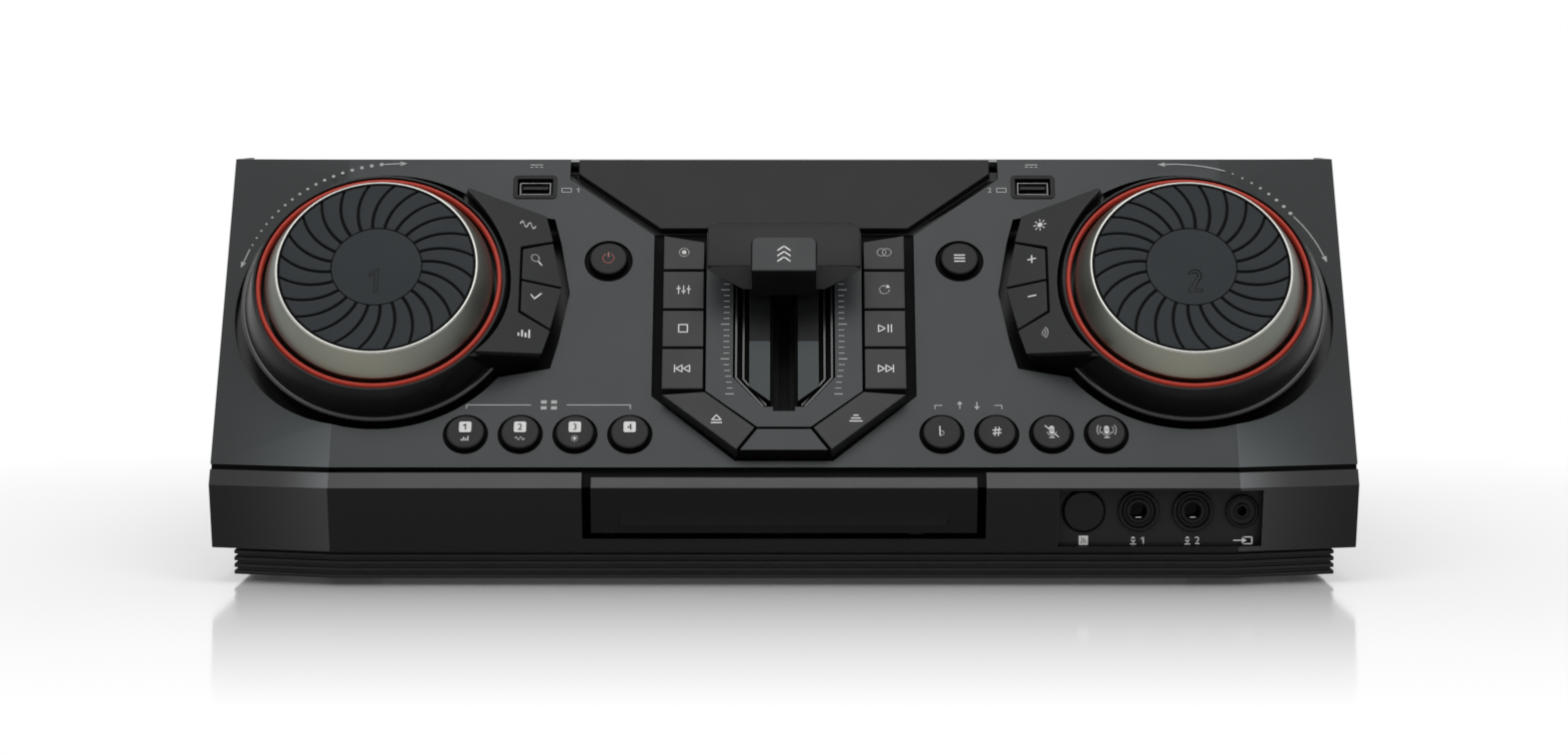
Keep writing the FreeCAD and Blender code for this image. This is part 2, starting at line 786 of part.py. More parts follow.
def base_and_cover():
    plinth = body("base_plinth")
    core = at_height(plinth, "foot_height")
    pad(plinth, polygon(core, plinth_plan("(plinth_inset + rib_depth)")), "plinth_height")
    rib = at_height(plinth, "foot_height")
    first = pad(plinth, polygon(rib, plinth_plan("plinth_inset")), "rib_height")
    ribs = plinth.newObject("PartDesign::LinearPattern", "plinth_ribs")
    ribs.Originals = [first]
    ribs.Direction = (rib, ["N_Axis"])
    ribs.setExpression("Length", bind("rib_pitch * (rib_count - 1)"))
    ribs.setExpression("Occurrences", bind("rib_count"))
    plinth.Tip = ribs
    hollow = polygon(at_height(plinth, PLINTH_TOP), plinth_plan("(plinth_inset + plinth_wall)"))
    pocket(plinth, hollow, "plinth_height - plinth_ledge_wall")
    floor = polygon(at_height(plinth, PLINTH_TOP), plinth_plan("(plinth_inset + plinth_ledge)"))
    pocket(plinth, floor, "plinth_height + overrun")

    chassis = body("bottom_chassis")
    pan = polygon(at_height(chassis, CHASSIS_FLOOR), plinth_plan(PAN_INSET))
    pad(chassis, pan, "chassis_wall")
    rear = at_height(chassis, CHASSIS_FLOOR)
    back = f"({REAR_Y} - rear_wall)"
    rectangle(rear, f"0 - {SCREW_SPREAD} - cover_foot", f"{SCREW_SPREAD} + cover_foot",
              f"{back} - chassis_wall", back)
    pad(chassis, rear, "chassis_flange")
    posts = at_height(chassis, CHASSIS_FLOOR)
    for side in ("", "0 - "):
        for across in (f"{MAIN_LEFT} + standoff_inset", f"{MAIN_RIGHT} - standoff_inset"):
            for along in (f"{MAIN_FRONT} + standoff_inset", f"{MAIN_BACK} - standoff_inset"):
                circle(posts, f"{side}({across})", along, "standoff_radius")
    pad(chassis, posts, "chassis_wall + standoff")
    holes = sketch(chassis, place(y=f"{REAR_Y} + overrun", turned=turn((1, 0, 0), "90")))
    screw_holes(holes)
    pocket(chassis, holes, "overrun * 2", up=True)

    feet = []
    for across in ("half_width - foot_inset", "foot_inset - half_width"):
        for along in ("half_depth - foot_inset", "foot_inset - half_depth"):
            feet.append(rod("foot", "foot_radius", CHASSIS_FLOOR, place(across, along)))
    group("feet", feet)

    cover = body("top_cover")
    start = "(fold_set_back + return_depth + shell_gap)"
    profile = [("half_depth", PLINTH_TOP), ("half_depth", DECK_Z),
               (f"{TOP_Y} + {start} - {DECK_DROP} / {TAN} - cover_tuck", DECK_Z),
               (f"{TOP_Y} + {start} - {DECK_DROP} / {TAN} - cover_tuck", f"{DECK_Z} - cover_wall"),
               (f"{TOP_Y} + {start} - ({DECK_DROP} + cover_wall) / {TAN}", f"{DECK_Z} - cover_wall"),
               (f"{NOSE_Y} + {start}", NOSE_Z),
               (f"{NOSE_Y} + face_undercut + {start}", PLINTH_TOP)]
    outer = polygon(sketch(cover, plane="YZ_Plane"), profile)
    pad(cover, outer, "half_width * 2", middle=True)
    inner = sketch(cover, plane="YZ_Plane")
    rectangle(inner, "0 - half_depth * 2", "half_depth * 2", f"{PLINTH_TOP} + cover_wall",
              f"{DECK_Z} - cover_wall")
    pocket(cover, inner, "(half_width - cover_wall) * 2", middle=True)
    below = sketch(cover, plane="YZ_Plane")
    rectangle(below, "0 - half_depth * 2", "half_depth * 2", "0", f"{PLINTH_TOP} + overrun")
    pocket(cover, below, "(half_width - cover_foot) * 2", middle=True)
    tuck = sketch(cover, place(y=f"{TOP_Y} + {start} - {DECK_DROP} / {TAN}", z=f"{DECK_Z} + overrun"))
    for side in (1, -1):
        rectangle(tuck, f"{side} * (half_width - panel_wall - shell_gap)", f"{side} * (half_width + overrun)",
                  "0 - cover_tuck - overrun", "0")
    pocket(cover, tuck, "overrun + cover_wall + shell_gap")

    panel = loose_body("rear_sheet", place(y=REAR_Y, turned=FORWARD))
    face = sketch(panel)
    side = "(half_width - cover_wall - rear_side_gap)"
    low = f"({PLINTH_TOP} + cover_wall + rear_side_gap)"
    foot = "(half_width - cover_foot - rear_side_gap)"
    polygon(face, [(f"0 - {foot}", PLINTH_TOP), (foot, PLINTH_TOP), (foot, low), (side, low),
                   (side, f"{DECK_Z} - cover_wall - rear_side_gap"),
                   (f"0 - {side}", f"{DECK_Z} - cover_wall - rear_side_gap"),
                   (f"0 - {side}", low), (f"0 - {foot}", low)])
    screw_holes(face)
    socket_holes(face)
    vents = number("fan_bore / (vent_radius * 3)")
    for row in range(-int(vents), int(vents) + 1):
        for column in range(-int(vents), int(vents) + 1):
            if row * row + column * column <= vents * vents:
                circle(face, f"{column} * vent_radius * 2.6", f"fan_z + {row} * vent_radius * 2.6",
                       "vent_radius")
    pad(panel, face, "rear_wall")
    phono = loose_body("phono_plate", place(y=REAR_Y, turned=FORWARD))
    holes = phono_plate(sketch(phono), "0")
    for shift in (-1, 1):
        circle(holes, f"{PHONO_X} + {shift} * phono_pitch / 2", "phono_z", "phono_radius + socket_gap")
    pad(phono, holes, "rear_wall")
    group("rear_panel", [panel, phono])
    screws = []
    for index in range(-2, 3):
        screw = loose_body("case_screw", place(f"{index} * {SCREW_SPREAD} * 0.5", REAR_Y, SCREW_Z,
                                               turn((1, 0, 0), "0 - 90")))
        revolve(screw, [("0", "0 - screw_reach"), ("screw_radius", "0 - screw_reach"),
                        ("screw_radius", "0"), ("screw_head_radius", "0"),
                        ("screw_head_radius", "screw_head * 0.5"),
                        ("screw_head_radius - screw_head * 0.5", "screw_head"), ("0", "screw_head")])
        screws.append(screw)
    group("case_screws", screws)


SCREW_Z = f"{CHASSIS_FLOOR} + chassis_flange * 0.8"


def screw_holes(drawn):
    for index in range(-2, 3):
        circle(drawn, f"{index} * {SCREW_SPREAD} * 0.5", SCREW_Z, "screw_radius + screw_gap")


def socket_holes(drawn):
    rectangle(drawn, f"{TERMINAL_X} - terminal_width / 2 - socket_gap",
              f"{TERMINAL_X} + terminal_width / 2 + socket_gap",
              "terminal_z - terminal_height / 2 - socket_gap",
              "terminal_z + terminal_height / 2 + socket_gap")
    rectangle(drawn, f"{INLET_X} - inlet_width / 2 - socket_gap", f"{INLET_X} + inlet_width / 2 + socket_gap",
              "inlet_z - inlet_height / 2 - socket_gap", "inlet_z + inlet_height / 2 + socket_gap")
    phono_plate(drawn, "socket_gap")


def phono_plate(drawn, margin):
    half = f"(phono_radius + phono_plate_edge + {margin})"
    return rectangle(drawn, f"{PHONO_X} - phono_pitch / 2 - {half}", f"{PHONO_X} + phono_pitch / 2 + {half}",
                     f"phono_z - {half}", f"phono_z + {half}")


# Dials, their housings and the pods of keys beside them.

def dial_place(flip):
    return panel_place(f"0 - {flip} * dial_across", "dial_rise")


def pod_place(flip):
    return panel_place(f"0 - {flip} * dial_across", "dial_rise + pod_rise", "pod_axis_height",
                       f"{flip} * pod_lean")


def pod_in_dial(flip, depth):
    lean = f"({flip} * pod_lean)"
    return place(f"0 - ({depth}) * sin({lean} * 1 deg)", "pod_rise",
                 f"pod_axis_height - ({depth}) * {LEAN_COS}", turn((0, 1, 0), lean))


def pod_stems(flip, grow="0"):
    half = f"(stem_half + {grow})"
    spots = [("pod_stem_reach", "pod_stem_half"), ("pod_stem_reach", "0 - pod_stem_half"),
             ("rocker_stem_reach", "rocker_stem_half"), ("rocker_stem_reach", "0 - rocker_stem_half")]
    return [(f"{flip} * {reach} / {LEAN_COS} - {half}", f"{flip} * {reach} / {LEAN_COS} + {half}",
             f"{rise} - {half}", f"{rise} + {half}") for reach, rise in spots]


def dial_housing(flip, side):
    part = body(f"{side}_dial_housing", dial_place(flip))
    revolve(part, [("bush_radius", "deck_height"), ("bowl_radius", "deck_height"),
                   ("bowl_radius", "ring_ledge"), ("ring_seat", "ring_ledge"),
                   ("ring_seat", "collar_height"), ("collar_top_radius", "collar_height"),
                   ("collar_radius", "0"), ("collar_radius", "0 - housing_floor_depth"),
                   ("housing_floor_radius", "0 - housing_floor_depth"),
                   ("housing_floor_radius", "0 - housing_floor_depth - housing_wall"),
                   ("collar_radius", "0 - housing_floor_depth - housing_wall"),
                   ("collar_radius", "0 - board_depth"), ("collar_bore", "0 - board_depth"),
                   ("collar_bore", "deck_height - housing_wall"),
                   ("bush_radius", "deck_height - housing_wall")])
    floor = sketch(part, place(y="pod_rise", z="0 - housing_floor_depth"))
    polygon(floor, pod_outline(flip, "pod_floor_margin"))
    pad(part, floor, "housing_wall", down=True)
    solid = sketch(part, pod_in_dial(flip, "pod_cap + key_travel_gap"))
    polygon(solid, pod_outline(flip, "0", f"(1 / {LEAN_COS})"))
    pad(part, solid, "pod_block - pod_cap - key_travel_gap", down=True)
    bowl = circle(at_height(part, "deck_height"), "0", "0", "bowl_radius")
    pocket(part, bowl, "pod_axis_height", up=True)
    seat = circle(at_height(part, "ring_ledge"), "0", "0", "ring_seat")
    pocket(part, seat, "pod_axis_height", up=True)
    brow = circle(at_height(part, "collar_height"), "0", "0", "pod_cap_bore")
    pocket(part, brow, "pod_axis_height", up=True)
    core = circle(at_height(part, "0 - board_depth - overrun"), "0", "0", "collar_bore")
    pocket(part, core, "board_depth + overrun + deck_height - housing_wall", up=True)
    guides = sketch(part, pod_in_dial(flip, "0"))
    for edges in pod_stems(flip, "guide_gap"):
        rectangle(guides, *edges)
    pocket(part, guides, "pod_block + overrun")
    lean = f"({flip} * pod_lean)"
    depth = "(pod_cap + key_travel_gap)"
    middle = f"({flip} * (fulcrum_reach + pod_key_inner) / 2 / {LEAN_COS})"
    rib = sketch(part, place(f"{middle} * cos({lean} * 1 deg) - {depth} * sin({lean} * 1 deg)", "pod_rise",
                             f"pod_axis_height - {depth} * {LEAN_COS} - {middle} * sin({lean} * 1 deg)",
                             turn((0, 1, 0), f"{lean} + 90")))
    circle(rib, "0", "0", "key_travel_gap - guide_gap")
    pad(part, rib, f"(pod_key_inner - fulcrum_reach) / {LEAN_COS}", middle=True)


def round_dial(part, flip, radius):
    bore = sketch(part, place(y="0 - pod_rise", turned=turn((0, 1, 0), f"0 - {flip} * pod_lean")))
    pocket(part, circle(bore, "0", "0", radius), "pod_axis_height * 4", middle=True)


def pod_keys(flip, side):
    scale = f"{flip} / {LEAN_COS}"
    inner = f"{scale} * pod_key_inner"
    rocker = body(f"{side}_rocker_key", pod_place(flip))
    upper = [(f"{scale} * pod_root_reach", "pod_root_half"),
             (f"{scale} * pod_corner_reach", "pod_corner_half"),
             (f"{scale} * pod_shoulder_reach", "pod_shoulder_half + key_gap / 2"),
             (inner, "pod_key_inner_half + key_gap / 2")]
    outline = upper + [(x, f"0 - ({y})") for x, y in reversed(upper)]
    pad(rocker, polygon(at_height(rocker, "0 - pod_cap"), outline), "pod_cap")
    round_dial(rocker, flip, "pod_cap_bore")
    stems = at_height(rocker, "0 - pod_cap")
    for edges in pod_stems(flip)[2:]:
        rectangle(stems, *edges)
    pad(rocker, stems, "pod_stem_end - pod_cap", down=True)
    for index, edges in enumerate(pod_stems(flip)[:2]):
        way = (1, -1)[index]
        key = body(f"{side}_pod_key_{index + 1}", pod_place(flip))
        outline = [(f"{inner} + {flip} * key_gap", f"{way} * key_gap / 2"),
                   (f"{scale} * pod_nose_reach", f"{way} * key_gap / 2"),
                   (f"{scale} * pod_shoulder_reach", f"{way} * (pod_shoulder_half - key_gap / 2)"),
                   (f"{inner} + {flip} * key_gap", f"{way} * (pod_key_inner_half - key_gap / 2)")]
        pad(key, polygon(at_height(key, "0 - pod_cap"), outline), "pod_cap")
        stem = rectangle(at_height(key, "0 - pod_cap"), *edges)
        pad(key, stem, "pod_stem_end - pod_cap", down=True)


def dial(flip, side):
    part = body(f"{side}_dial", dial_place(flip))
    floor = "(dial_crown - dial_pad_height - pad_gap)"
    revolve(part, [("0", "0 - dial_shaft_reach"), ("dial_shaft_radius", "0 - dial_shaft_reach"),
                   ("dial_shaft_radius", "dial_hub_foot"), ("dial_hub_radius", "dial_hub_foot"),
                   ("dial_hub_radius", f"{floor} - dial_plate_wall"),
                   ("dial_crown_radius - dial_skirt_wall", f"{floor} - dial_plate_wall"),
                   ("dial_radius - dial_skirt_wall", "dial_knee"),
                   ("dial_radius - dial_skirt_wall", "dial_foot"), ("dial_radius", "dial_foot"),
                   ("dial_radius", "dial_knee"), ("dial_crown_radius", "dial_crown"),
                   ("dial_crown_radius - dial_rim", "dial_crown"),
                   ("dial_crown_radius - dial_rim", floor), ("0", floor)])
    top = body(f"{side}_dial_pad", dial_place(flip))
    radius = "(dial_crown_radius - dial_rim - pad_gap)"
    crown = f"({floor} + dial_pad_height)"
    revolve(top, [("0", floor), (radius, floor), (radius, f"{crown} - pad_gap"),
                  (f"{radius} - pad_gap", crown), ("pad_hub_radius + pad_groove", crown),
                  ("pad_hub_radius + pad_groove", f"{crown} - pad_groove"),
                  ("pad_hub_radius", f"{crown} - pad_groove"), ("pad_hub_radius", crown), ("0", crown)])


def dials():
    rings = []
    for flip, side in ((1, "left"), (-1, "right")):
        dial_housing(flip, side)
        pod_keys(flip, side)
        dial(flip, side)
        ring = loose_body(f"{side}_light_ring", dial_place(flip))
        revolve(ring, [("ring_inner", "ring_ledge"), ("ring_outer", "ring_ledge"),
                       ("ring_outer", "ring_top - pad_gap"), ("ring_outer - pad_gap", "ring_top"),
                       ("ring_inner + pad_gap", "ring_top"), ("ring_inner", "ring_top - pad_gap")])
        rings.append(ring)
    group("dial_light_rings", rings)


# Round buttons of the panel.

def row_place(side, start, index):
    return f"{side} * ({start} + {index} * button_pitch)"


def button_places():
    places = [("0 - power_across", "power_rise", "power_ring_radius"),
              ("power_across", "power_rise", "power_ring_radius")]
    for index in range(4):
        places.append((row_place(-1, "pad_row_start", 3 - index), "button_row", "button_ring_radius"))
    for index in range(4):
        places.append((row_place(1, "tone_row_start", index), "button_row", "button_ring_radius"))
    return places


BUTTON_NAMES = (["power_button", "function_button"]
                + [f"pad_button_{index}" for index in range(1, 5)]
                + [f"tone_button_{index}" for index in range(1, 5)])


def round_buttons():
    for label, (across, rise, ring) in zip(BUTTON_NAMES, button_places()):
        part = body(label, panel_place(across, rise))
        under = "(0 - panel_wall - guide_gap)"
        revolve(part, [("0", "0 - stem_end"), ("stem_half", "0 - stem_end"),
                       ("stem_half", f"{under} - button_flange_wall"),
                       ("button_flange_radius", f"{under} - button_flange_wall"),
                       ("button_flange_radius", under), ("button_radius", under),
                       ("button_radius", "button_crown - button_edge"),
                       ("button_radius - button_edge", "button_crown"), ("0", "button_crown")])


# Centre console with its keys, the lever and its fader.

def column_key_edges(side):
    rows = ["column_foot", "column_row_one", "column_row_two", "column_row_three"]
    heads = rows[1:] + ["column_head"]
    outer = f"{side} * key_outer"
    inner = f"{side} * key_inner_edge"
    outlines = []
    for low, high in zip(rows, heads):
        slant = "column_head_slant" if high == "column_head" else "0"
        outlines.append([(outer, low), (inner, low), (inner, f"{high} - key_gap - {slant}"),
                         (outer, f"{high} - key_gap")])
    return outlines[::-1]


def corner_key_edges(side):
    return [(f"{side} * key_outer", "corner_key_outer_v"),
            (f"{side} * (plate_half + key_gap * 0.3)", "plate_shoulder - key_gap * 0.3"),
            (f"{side} * (plate_foot_half + key_gap * 0.9)", "plate_foot - key_gap * 0.2"),
            (f"{side} * (corner_key_foot_half + key_gap * 0.6)", "nose_foot + key_gap * 0.2")]


def middle_of(outline):
    count = len(outline)
    across = " + ".join(f"({x})" for x, _ in outline)
    along = " + ".join(f"({y})" for _, y in outline)
    return f"({across}) / {count}", f"({along}) / {count}"


def stem_edges(outline, grow="0"):
    across, along = middle_of(outline)
    half = f"(stem_half + {grow})"
    return f"{across} - {half}", f"{across} + {half}", f"{along} - {half}", f"{along} + {half}"


def console_keys():
    keys = {}
    for side, word in ((-1, "left"), (1, "right")):
        for index, outline in enumerate(column_key_edges(side)):
            keys[f"{word}_column_key_{index + 1}"] = outline
    keys["eject_key"] = corner_key_edges(-1)
    keys["mode_key"] = corner_key_edges(1)
    return keys


def centre_console():
    part = body("centre_console", panel_place())
    head = "display_foot - display_moat * 0.2 - guide_gap"
    outline = console_outline("console_margin", head, f"{LIP_TOP_V} + guide_gap")
    base = polygon(at_height(part, "0 - panel_wall"), outline)
    pad(part, base, "console_base_wall", down=True)
    height = "console_top + panel_wall"
    plate = at_height(part, "0 - panel_wall")
    polygon(plate, mirrored([("0 - plate_half", "plate_head"), ("0 - plate_half", "plate_shoulder"),
                             ("0 - plate_foot_half", "plate_foot")]))
    pad(part, plate, height)
    nose = at_height(part, "0 - panel_wall")
    polygon(nose, mirrored([("0 - plate_foot_half", "plate_foot - key_gap"),
                            ("0 - nose_foot_half", "nose_foot")]))
    pad(part, nose, height)
    top = "console_top + overrun"
    well = at_height(part, top)
    polygon(well, mirrored([("0 - well_half", "well_head"), ("0 - well_half", "well_shoulder"),
                            ("0 - well_foot_half", "well_foot")]))
    pocket(part, well, f"{top} + well_floor")
    for side in (1, -1):
        bar = at_height(part, "0 - well_floor")
        polygon(bar, [(f"{side} * bar_inner", "bar_head"), (f"{side} * bar_outer", "bar_head"),
                      (f"{side} * bar_outer", "bar_shoulder"), (f"{side} * bar_inner", "bar_foot")])
        pad(part, bar, "well_floor + bar_top")
    slot = rectangle(at_height(part, top), "0 - slot_half", "slot_half", "slot_foot", "slot_head")
    pocket(part, slot, f"{top} + overrun * 2")
    guides = at_height(part, "0")
    for outline in console_keys().values():
        rectangle(guides, *stem_edges(outline, "guide_gap"))
    pocket(part, guides, "panel_wall + console_base_wall + overrun")
    for label, outline in console_keys().items():
        key = body(label, panel_place())
        floor = "(key_floor - panel_wall)"
        pad(key, polygon(at_height(key, floor), outline), f"console_top - {floor}")
        stem = rectangle(at_height(key, floor), *stem_edges(outline))
        pad(key, stem, f"stem_end + {floor}", down=True)


def lever():
    part = body("lever_handle", panel_place(v="lever_front"))
    across = sketch(part, plane="XZ_Plane")
    outline = [("0 - lever_head_foot_half", "lever_floor"), ("0 - lever_head_half", "lever_top - lever_edge"),
               ("0 - lever_head_half", "lever_top - lever_edge * 0.4"),
               ("lever_edge * 0.6 - lever_head_half", "lever_top")]
    polygon(across, mirrored(outline))
    pad(part, across, "lever_length", down=True)
    for side in (1, -1):
        corner = at_height(part, "lever_top + overrun")
        polygon(corner, [(f"{side} * (lever_head_half - lever_corner)", "lever_length + overrun"),
                         (f"{side} * (lever_head_half - lever_corner)", "lever_length"),
                         (f"{side} * (lever_head_half - lever_corner * 0.3)", "lever_length - lever_corner * 0.3"),
                         (f"{side} * lever_head_half", "lever_length - lever_corner"),
                         (f"{side} * (lever_head_half + overrun)", "lever_length - lever_corner"),
                         (f"{side} * (lever_head_half + overrun)", "lever_length + overrun")])
        pocket(part, corner, "lever_top + overrun")
    tab = at_height(part, "lever_floor")
    rectangle(tab, "0 - tab_half", "tab_half", "0 - tab_nose", "tab_length")
    pad(part, tab, "lever_top - lever_floor + tab_proud")
    arm = at_height(part, "lever_floor")
    rectangle(arm, "0 - arm_half", "arm_half", "arm_front - lever_front", "arm_back - lever_front")
    pad(part, arm, "lever_floor + arm_end", down=True)
    wiper = at_height(part, "0 - arm_end")
    rectangle(wiper, "0 - wiper_half", "wiper_half", "arm_front - lever_front", "arm_back - lever_front")
    pad(part, wiper, "wiper_end - arm_end", down=True)


def display_window():
    part = body("display_window", panel_place())
    half = [("0 - display_head_half", "display_head"),
            ("0 - display_head_half", "display_head - display_moat * 2"),
            ("0 - display_foot_half", "display_foot")]
    pad(part, polygon(at_height(part, "0 - panel_wall"), mirrored(half)), "panel_wall + display_proud")
    back = [("0 - display_head_half - display_moat * 1.7", "display_head - display_moat"),
            ("0 - display_head_half - display_moat * 1.7", "display_head - display_moat * 2.4"),
            ("0 - display_foot_half - display_moat * 2.4", "display_foot - display_moat * 0.2")]
    rear = polygon(at_height(part, "0 - panel_wall"), mirrored(back))
    pad(part, rear, "panel_wall", down=True)


def usb_sockets():
    sockets = []
    for side in ("", "0 - "):
        made = loose_body("usb_socket", panel_place(f"{side}{USB_X}", "usb_rise"))
        outer = at_height(made, "0 - board_depth")
        rectangle(outer, "0 - usb_half_width", "usb_half_width", "0 - usb_half_height", "usb_half_height")
        pad(made, outer, "board_depth - usb_set_back")
        slot = at_height(made, "0 - usb_set_back")
        rectangle(slot, "usb_wall - usb_half_width", "usb_half_width - usb_wall",
                  "usb_wall - usb_half_height", "usb_half_height - usb_wall")
        pocket(made, slot, "usb_depth")
        tongue = at_height(made, "0 - usb_set_back - usb_depth")
        rectangle(tongue, "0 - usb_tongue_half_width", "usb_tongue_half_width",
                  "usb_half_height - usb_wall * 2 - usb_tongue_wall", "usb_half_height - usb_wall * 2")
        pad(made, tongue, "usb_depth * 0.9")
        sockets.append(made)
    group("usb_sockets", sockets)


def control_board():
    deep = "0 - board_depth"
    pieces = [block("key_board", (f"{BOARD_HALF} * 2", "board_head - board_foot", "board_wall"),
                    panel_place(f"0 - {BOARD_HALF}", "board_foot", f"{deep} - board_wall"))]
    side = "stem_half * 2"
    tall = "board_depth - stem_end - switch_gap"
    spots = [(across, rise) for across, rise, _ in button_places()]
    spots += [middle_of(outline) for outline in console_keys().values()]
    for across, rise in spots:
        where = panel_place(f"{across} - stem_half", f"{rise} - stem_half", deep)
        pieces.append(block("key_switch", (side, side, tall), where))
    for flip, word in ((1, "left"), (-1, "right")):
        pod = loose_body(f"{word}_pod_board", pod_place(flip))
        plate = at_height(pod, "0 - pod_block")
        scale = f"{flip} / {LEAN_COS}"
        rectangle(plate, f"{scale} * (rocker_stem_reach - stem_half)", f"{scale} * (pod_stem_reach + stem_half)",
                  "0 - rocker_stem_half - stem_half", "rocker_stem_half + stem_half")
        pad(pod, plate, "board_wall", down=True)
        round_dial(pod, flip, "collar_radius + guide_gap")
        switches = at_height(pod, "0 - pod_block")
        for edges in pod_stems(flip):
            rectangle(switches, *edges)
        pad(pod, switches, "pod_block - pod_stem_end - switch_gap")
        encoder = loose_body(f"{word}_encoder", dial_place(flip))
        revolve(encoder, [("dial_shaft_radius + shaft_gap", "0 - encoder_top"),
                          ("encoder_radius", "0 - encoder_top"), ("encoder_radius", deep),
                          ("dial_shaft_radius + shaft_gap", deep)])
        pieces += [pod, encoder]
    fader = loose_body("fader", panel_place())
    case = at_height(fader, deep)
    rectangle(case, "0 - fader_half", "fader_half", "fader_foot", "fader_head")
    pad(fader, case, "board_depth - fader_top")
    groove = at_height(fader, "0 - fader_top")
    rectangle(groove, "0 - fader_groove", "fader_groove", "fader_foot + fader_floor", "fader_head - fader_floor")
    pocket(fader, groove, "board_depth - fader_top - fader_floor")
    group("control_board", pieces + [fader])


# Disc loader: frame, tray, door, drive gear, turntable and pickup.

PITCH = "(gear_module * 3.14159265)"


def disc_tray():
    door = body("tray_door")
    outline = sketch(door, plane="YZ_Plane")
    head = f"({NOSE_Z} + door_head)"
    foot = f"({NOSE_Z} - door_foot)"
    top_y = f"({NOSE_Y} + door_head / {TAN})"
    foot_y = f"({NOSE_Y} + face_undercut * door_foot / face_drop)"
    polygon(outline, [(top_y, head), (NOSE_Y, NOSE_Z), (foot_y, foot), (f"{foot_y} + door_wall", foot),
                      (f"{NOSE_Y} + door_wall", NOSE_Z), (f"{top_y} + door_wall - door_seat_gap", head)])
    pad(door, outline, "door_half * 2", middle=True)
    seat = sketch(door, plane="YZ_Plane")
    rectangle(seat, f"{NOSE_Y} + face_undercut * 0.2 + door_wall * 0.5", f"{NOSE_Y} + tray_front", "tray_floor",
              "tray_floor + tray_wall")
    pad(door, seat, "tray_half * 1.9", middle=True)

    tray = body("disc_tray")
    plate = at_height(tray, "tray_floor")
    front = f"({NOSE_Y} + tray_front)"
    rectangle(plate, "0 - tray_half", "tray_half", front, f"{front} + tray_length")
    pad(tray, plate, "tray_wall")
    recess = circle(at_height(tray, "tray_floor + tray_wall"), "0", DISC_Y, "disc_radius")
    pocket(tray, recess, "disc_recess")
    window = at_height(tray, "tray_floor + tray_wall")
    rectangle(window, "0 - tray_window_half", "tray_window_half", f"{DISC_Y} - tray_window_front",
              f"{DISC_Y} + tray_window_back")
    pocket(tray, window, "tray_wall + overrun")
    bar = at_height(tray, "tray_floor - rack_height")
    root = "(rack_line + gear_module * 1.2)"
    rectangle(bar, root, f"{root} + rack_width", f"{front} + rack_front - tray_front * 0.5",
              f"{GEAR_Y} + {PITCH} * (rack_teeth - 1)")
    pad(tray, bar, "rack_height")
    tooth = at_height(tray, "tray_floor - rack_height")
    first = f"({GEAR_Y} - {PITCH} * 2.5)"
    polygon(tooth, [(f"{root} + rack_width * 0.2", f"{first} - {PITCH} * 0.29"),
                    (f"{root} + rack_width * 0.2", f"{first} + {PITCH} * 0.29"),
                    (root, f"{first} + {PITCH} * 0.29"),
                    ("rack_line - gear_module * 0.85", f"{first} + {PITCH} * 0.11"),
                    ("rack_line - gear_module * 0.85", f"{first} - {PITCH} * 0.11"),
                    (root, f"{first} - {PITCH} * 0.29")])
    tooth_pad = pad(tray, tooth, "rack_height")
    teeth = tray.newObject("PartDesign::LinearPattern", "rack_teeth_row")
    teeth.Originals = [tooth_pad]
    teeth.Direction = (tooth, ["V_Axis"])
    teeth.setExpression("Length", bind(f"{PITCH} * (rack_teeth - 1)"))
    teeth.setExpression("Occurrences", bind("rack_teeth"))
    tray.Tip = teeth


def tray_gear():
    pitch_radius = "(gear_module * gear_teeth / 2)"
    centre = f"(rack_line - {pitch_radius})"
    gear = body("tray_gear", place(centre, GEAR_Y, "gear_foot"))
    root = f"({pitch_radius} - gear_module * 1.2)"
    disc = sketch(gear)
    circle(disc, "0", "0", root)
    circle(disc, "0", "0", "gear_pin_radius + shaft_gap")
    pad(gear, disc, "gear_height")
    tooth = sketch(gear)
    polygon(tooth, [(f"{root} * 0.9", f"0 - {PITCH} * 0.27"), (root, f"0 - {PITCH} * 0.27"),
                    (f"{pitch_radius} + gear_module * 0.8", f"0 - {PITCH} * 0.11"),
                    (f"{pitch_radius} + gear_module * 0.8", f"{PITCH} * 0.11"),
                    (root, f"{PITCH} * 0.27"), (f"{root} * 0.9", f"{PITCH} * 0.27")])
    tooth_pad = pad(gear, tooth, "gear_height")
    teeth = gear.newObject("PartDesign::PolarPattern", "gear_teeth_ring")
    teeth.Originals = [tooth_pad]
    teeth.Axis = (tooth, ["N_Axis"])
    teeth.setExpression("Occurrences", bind("gear_teeth"))
    gear.Tip = teeth
    return centre


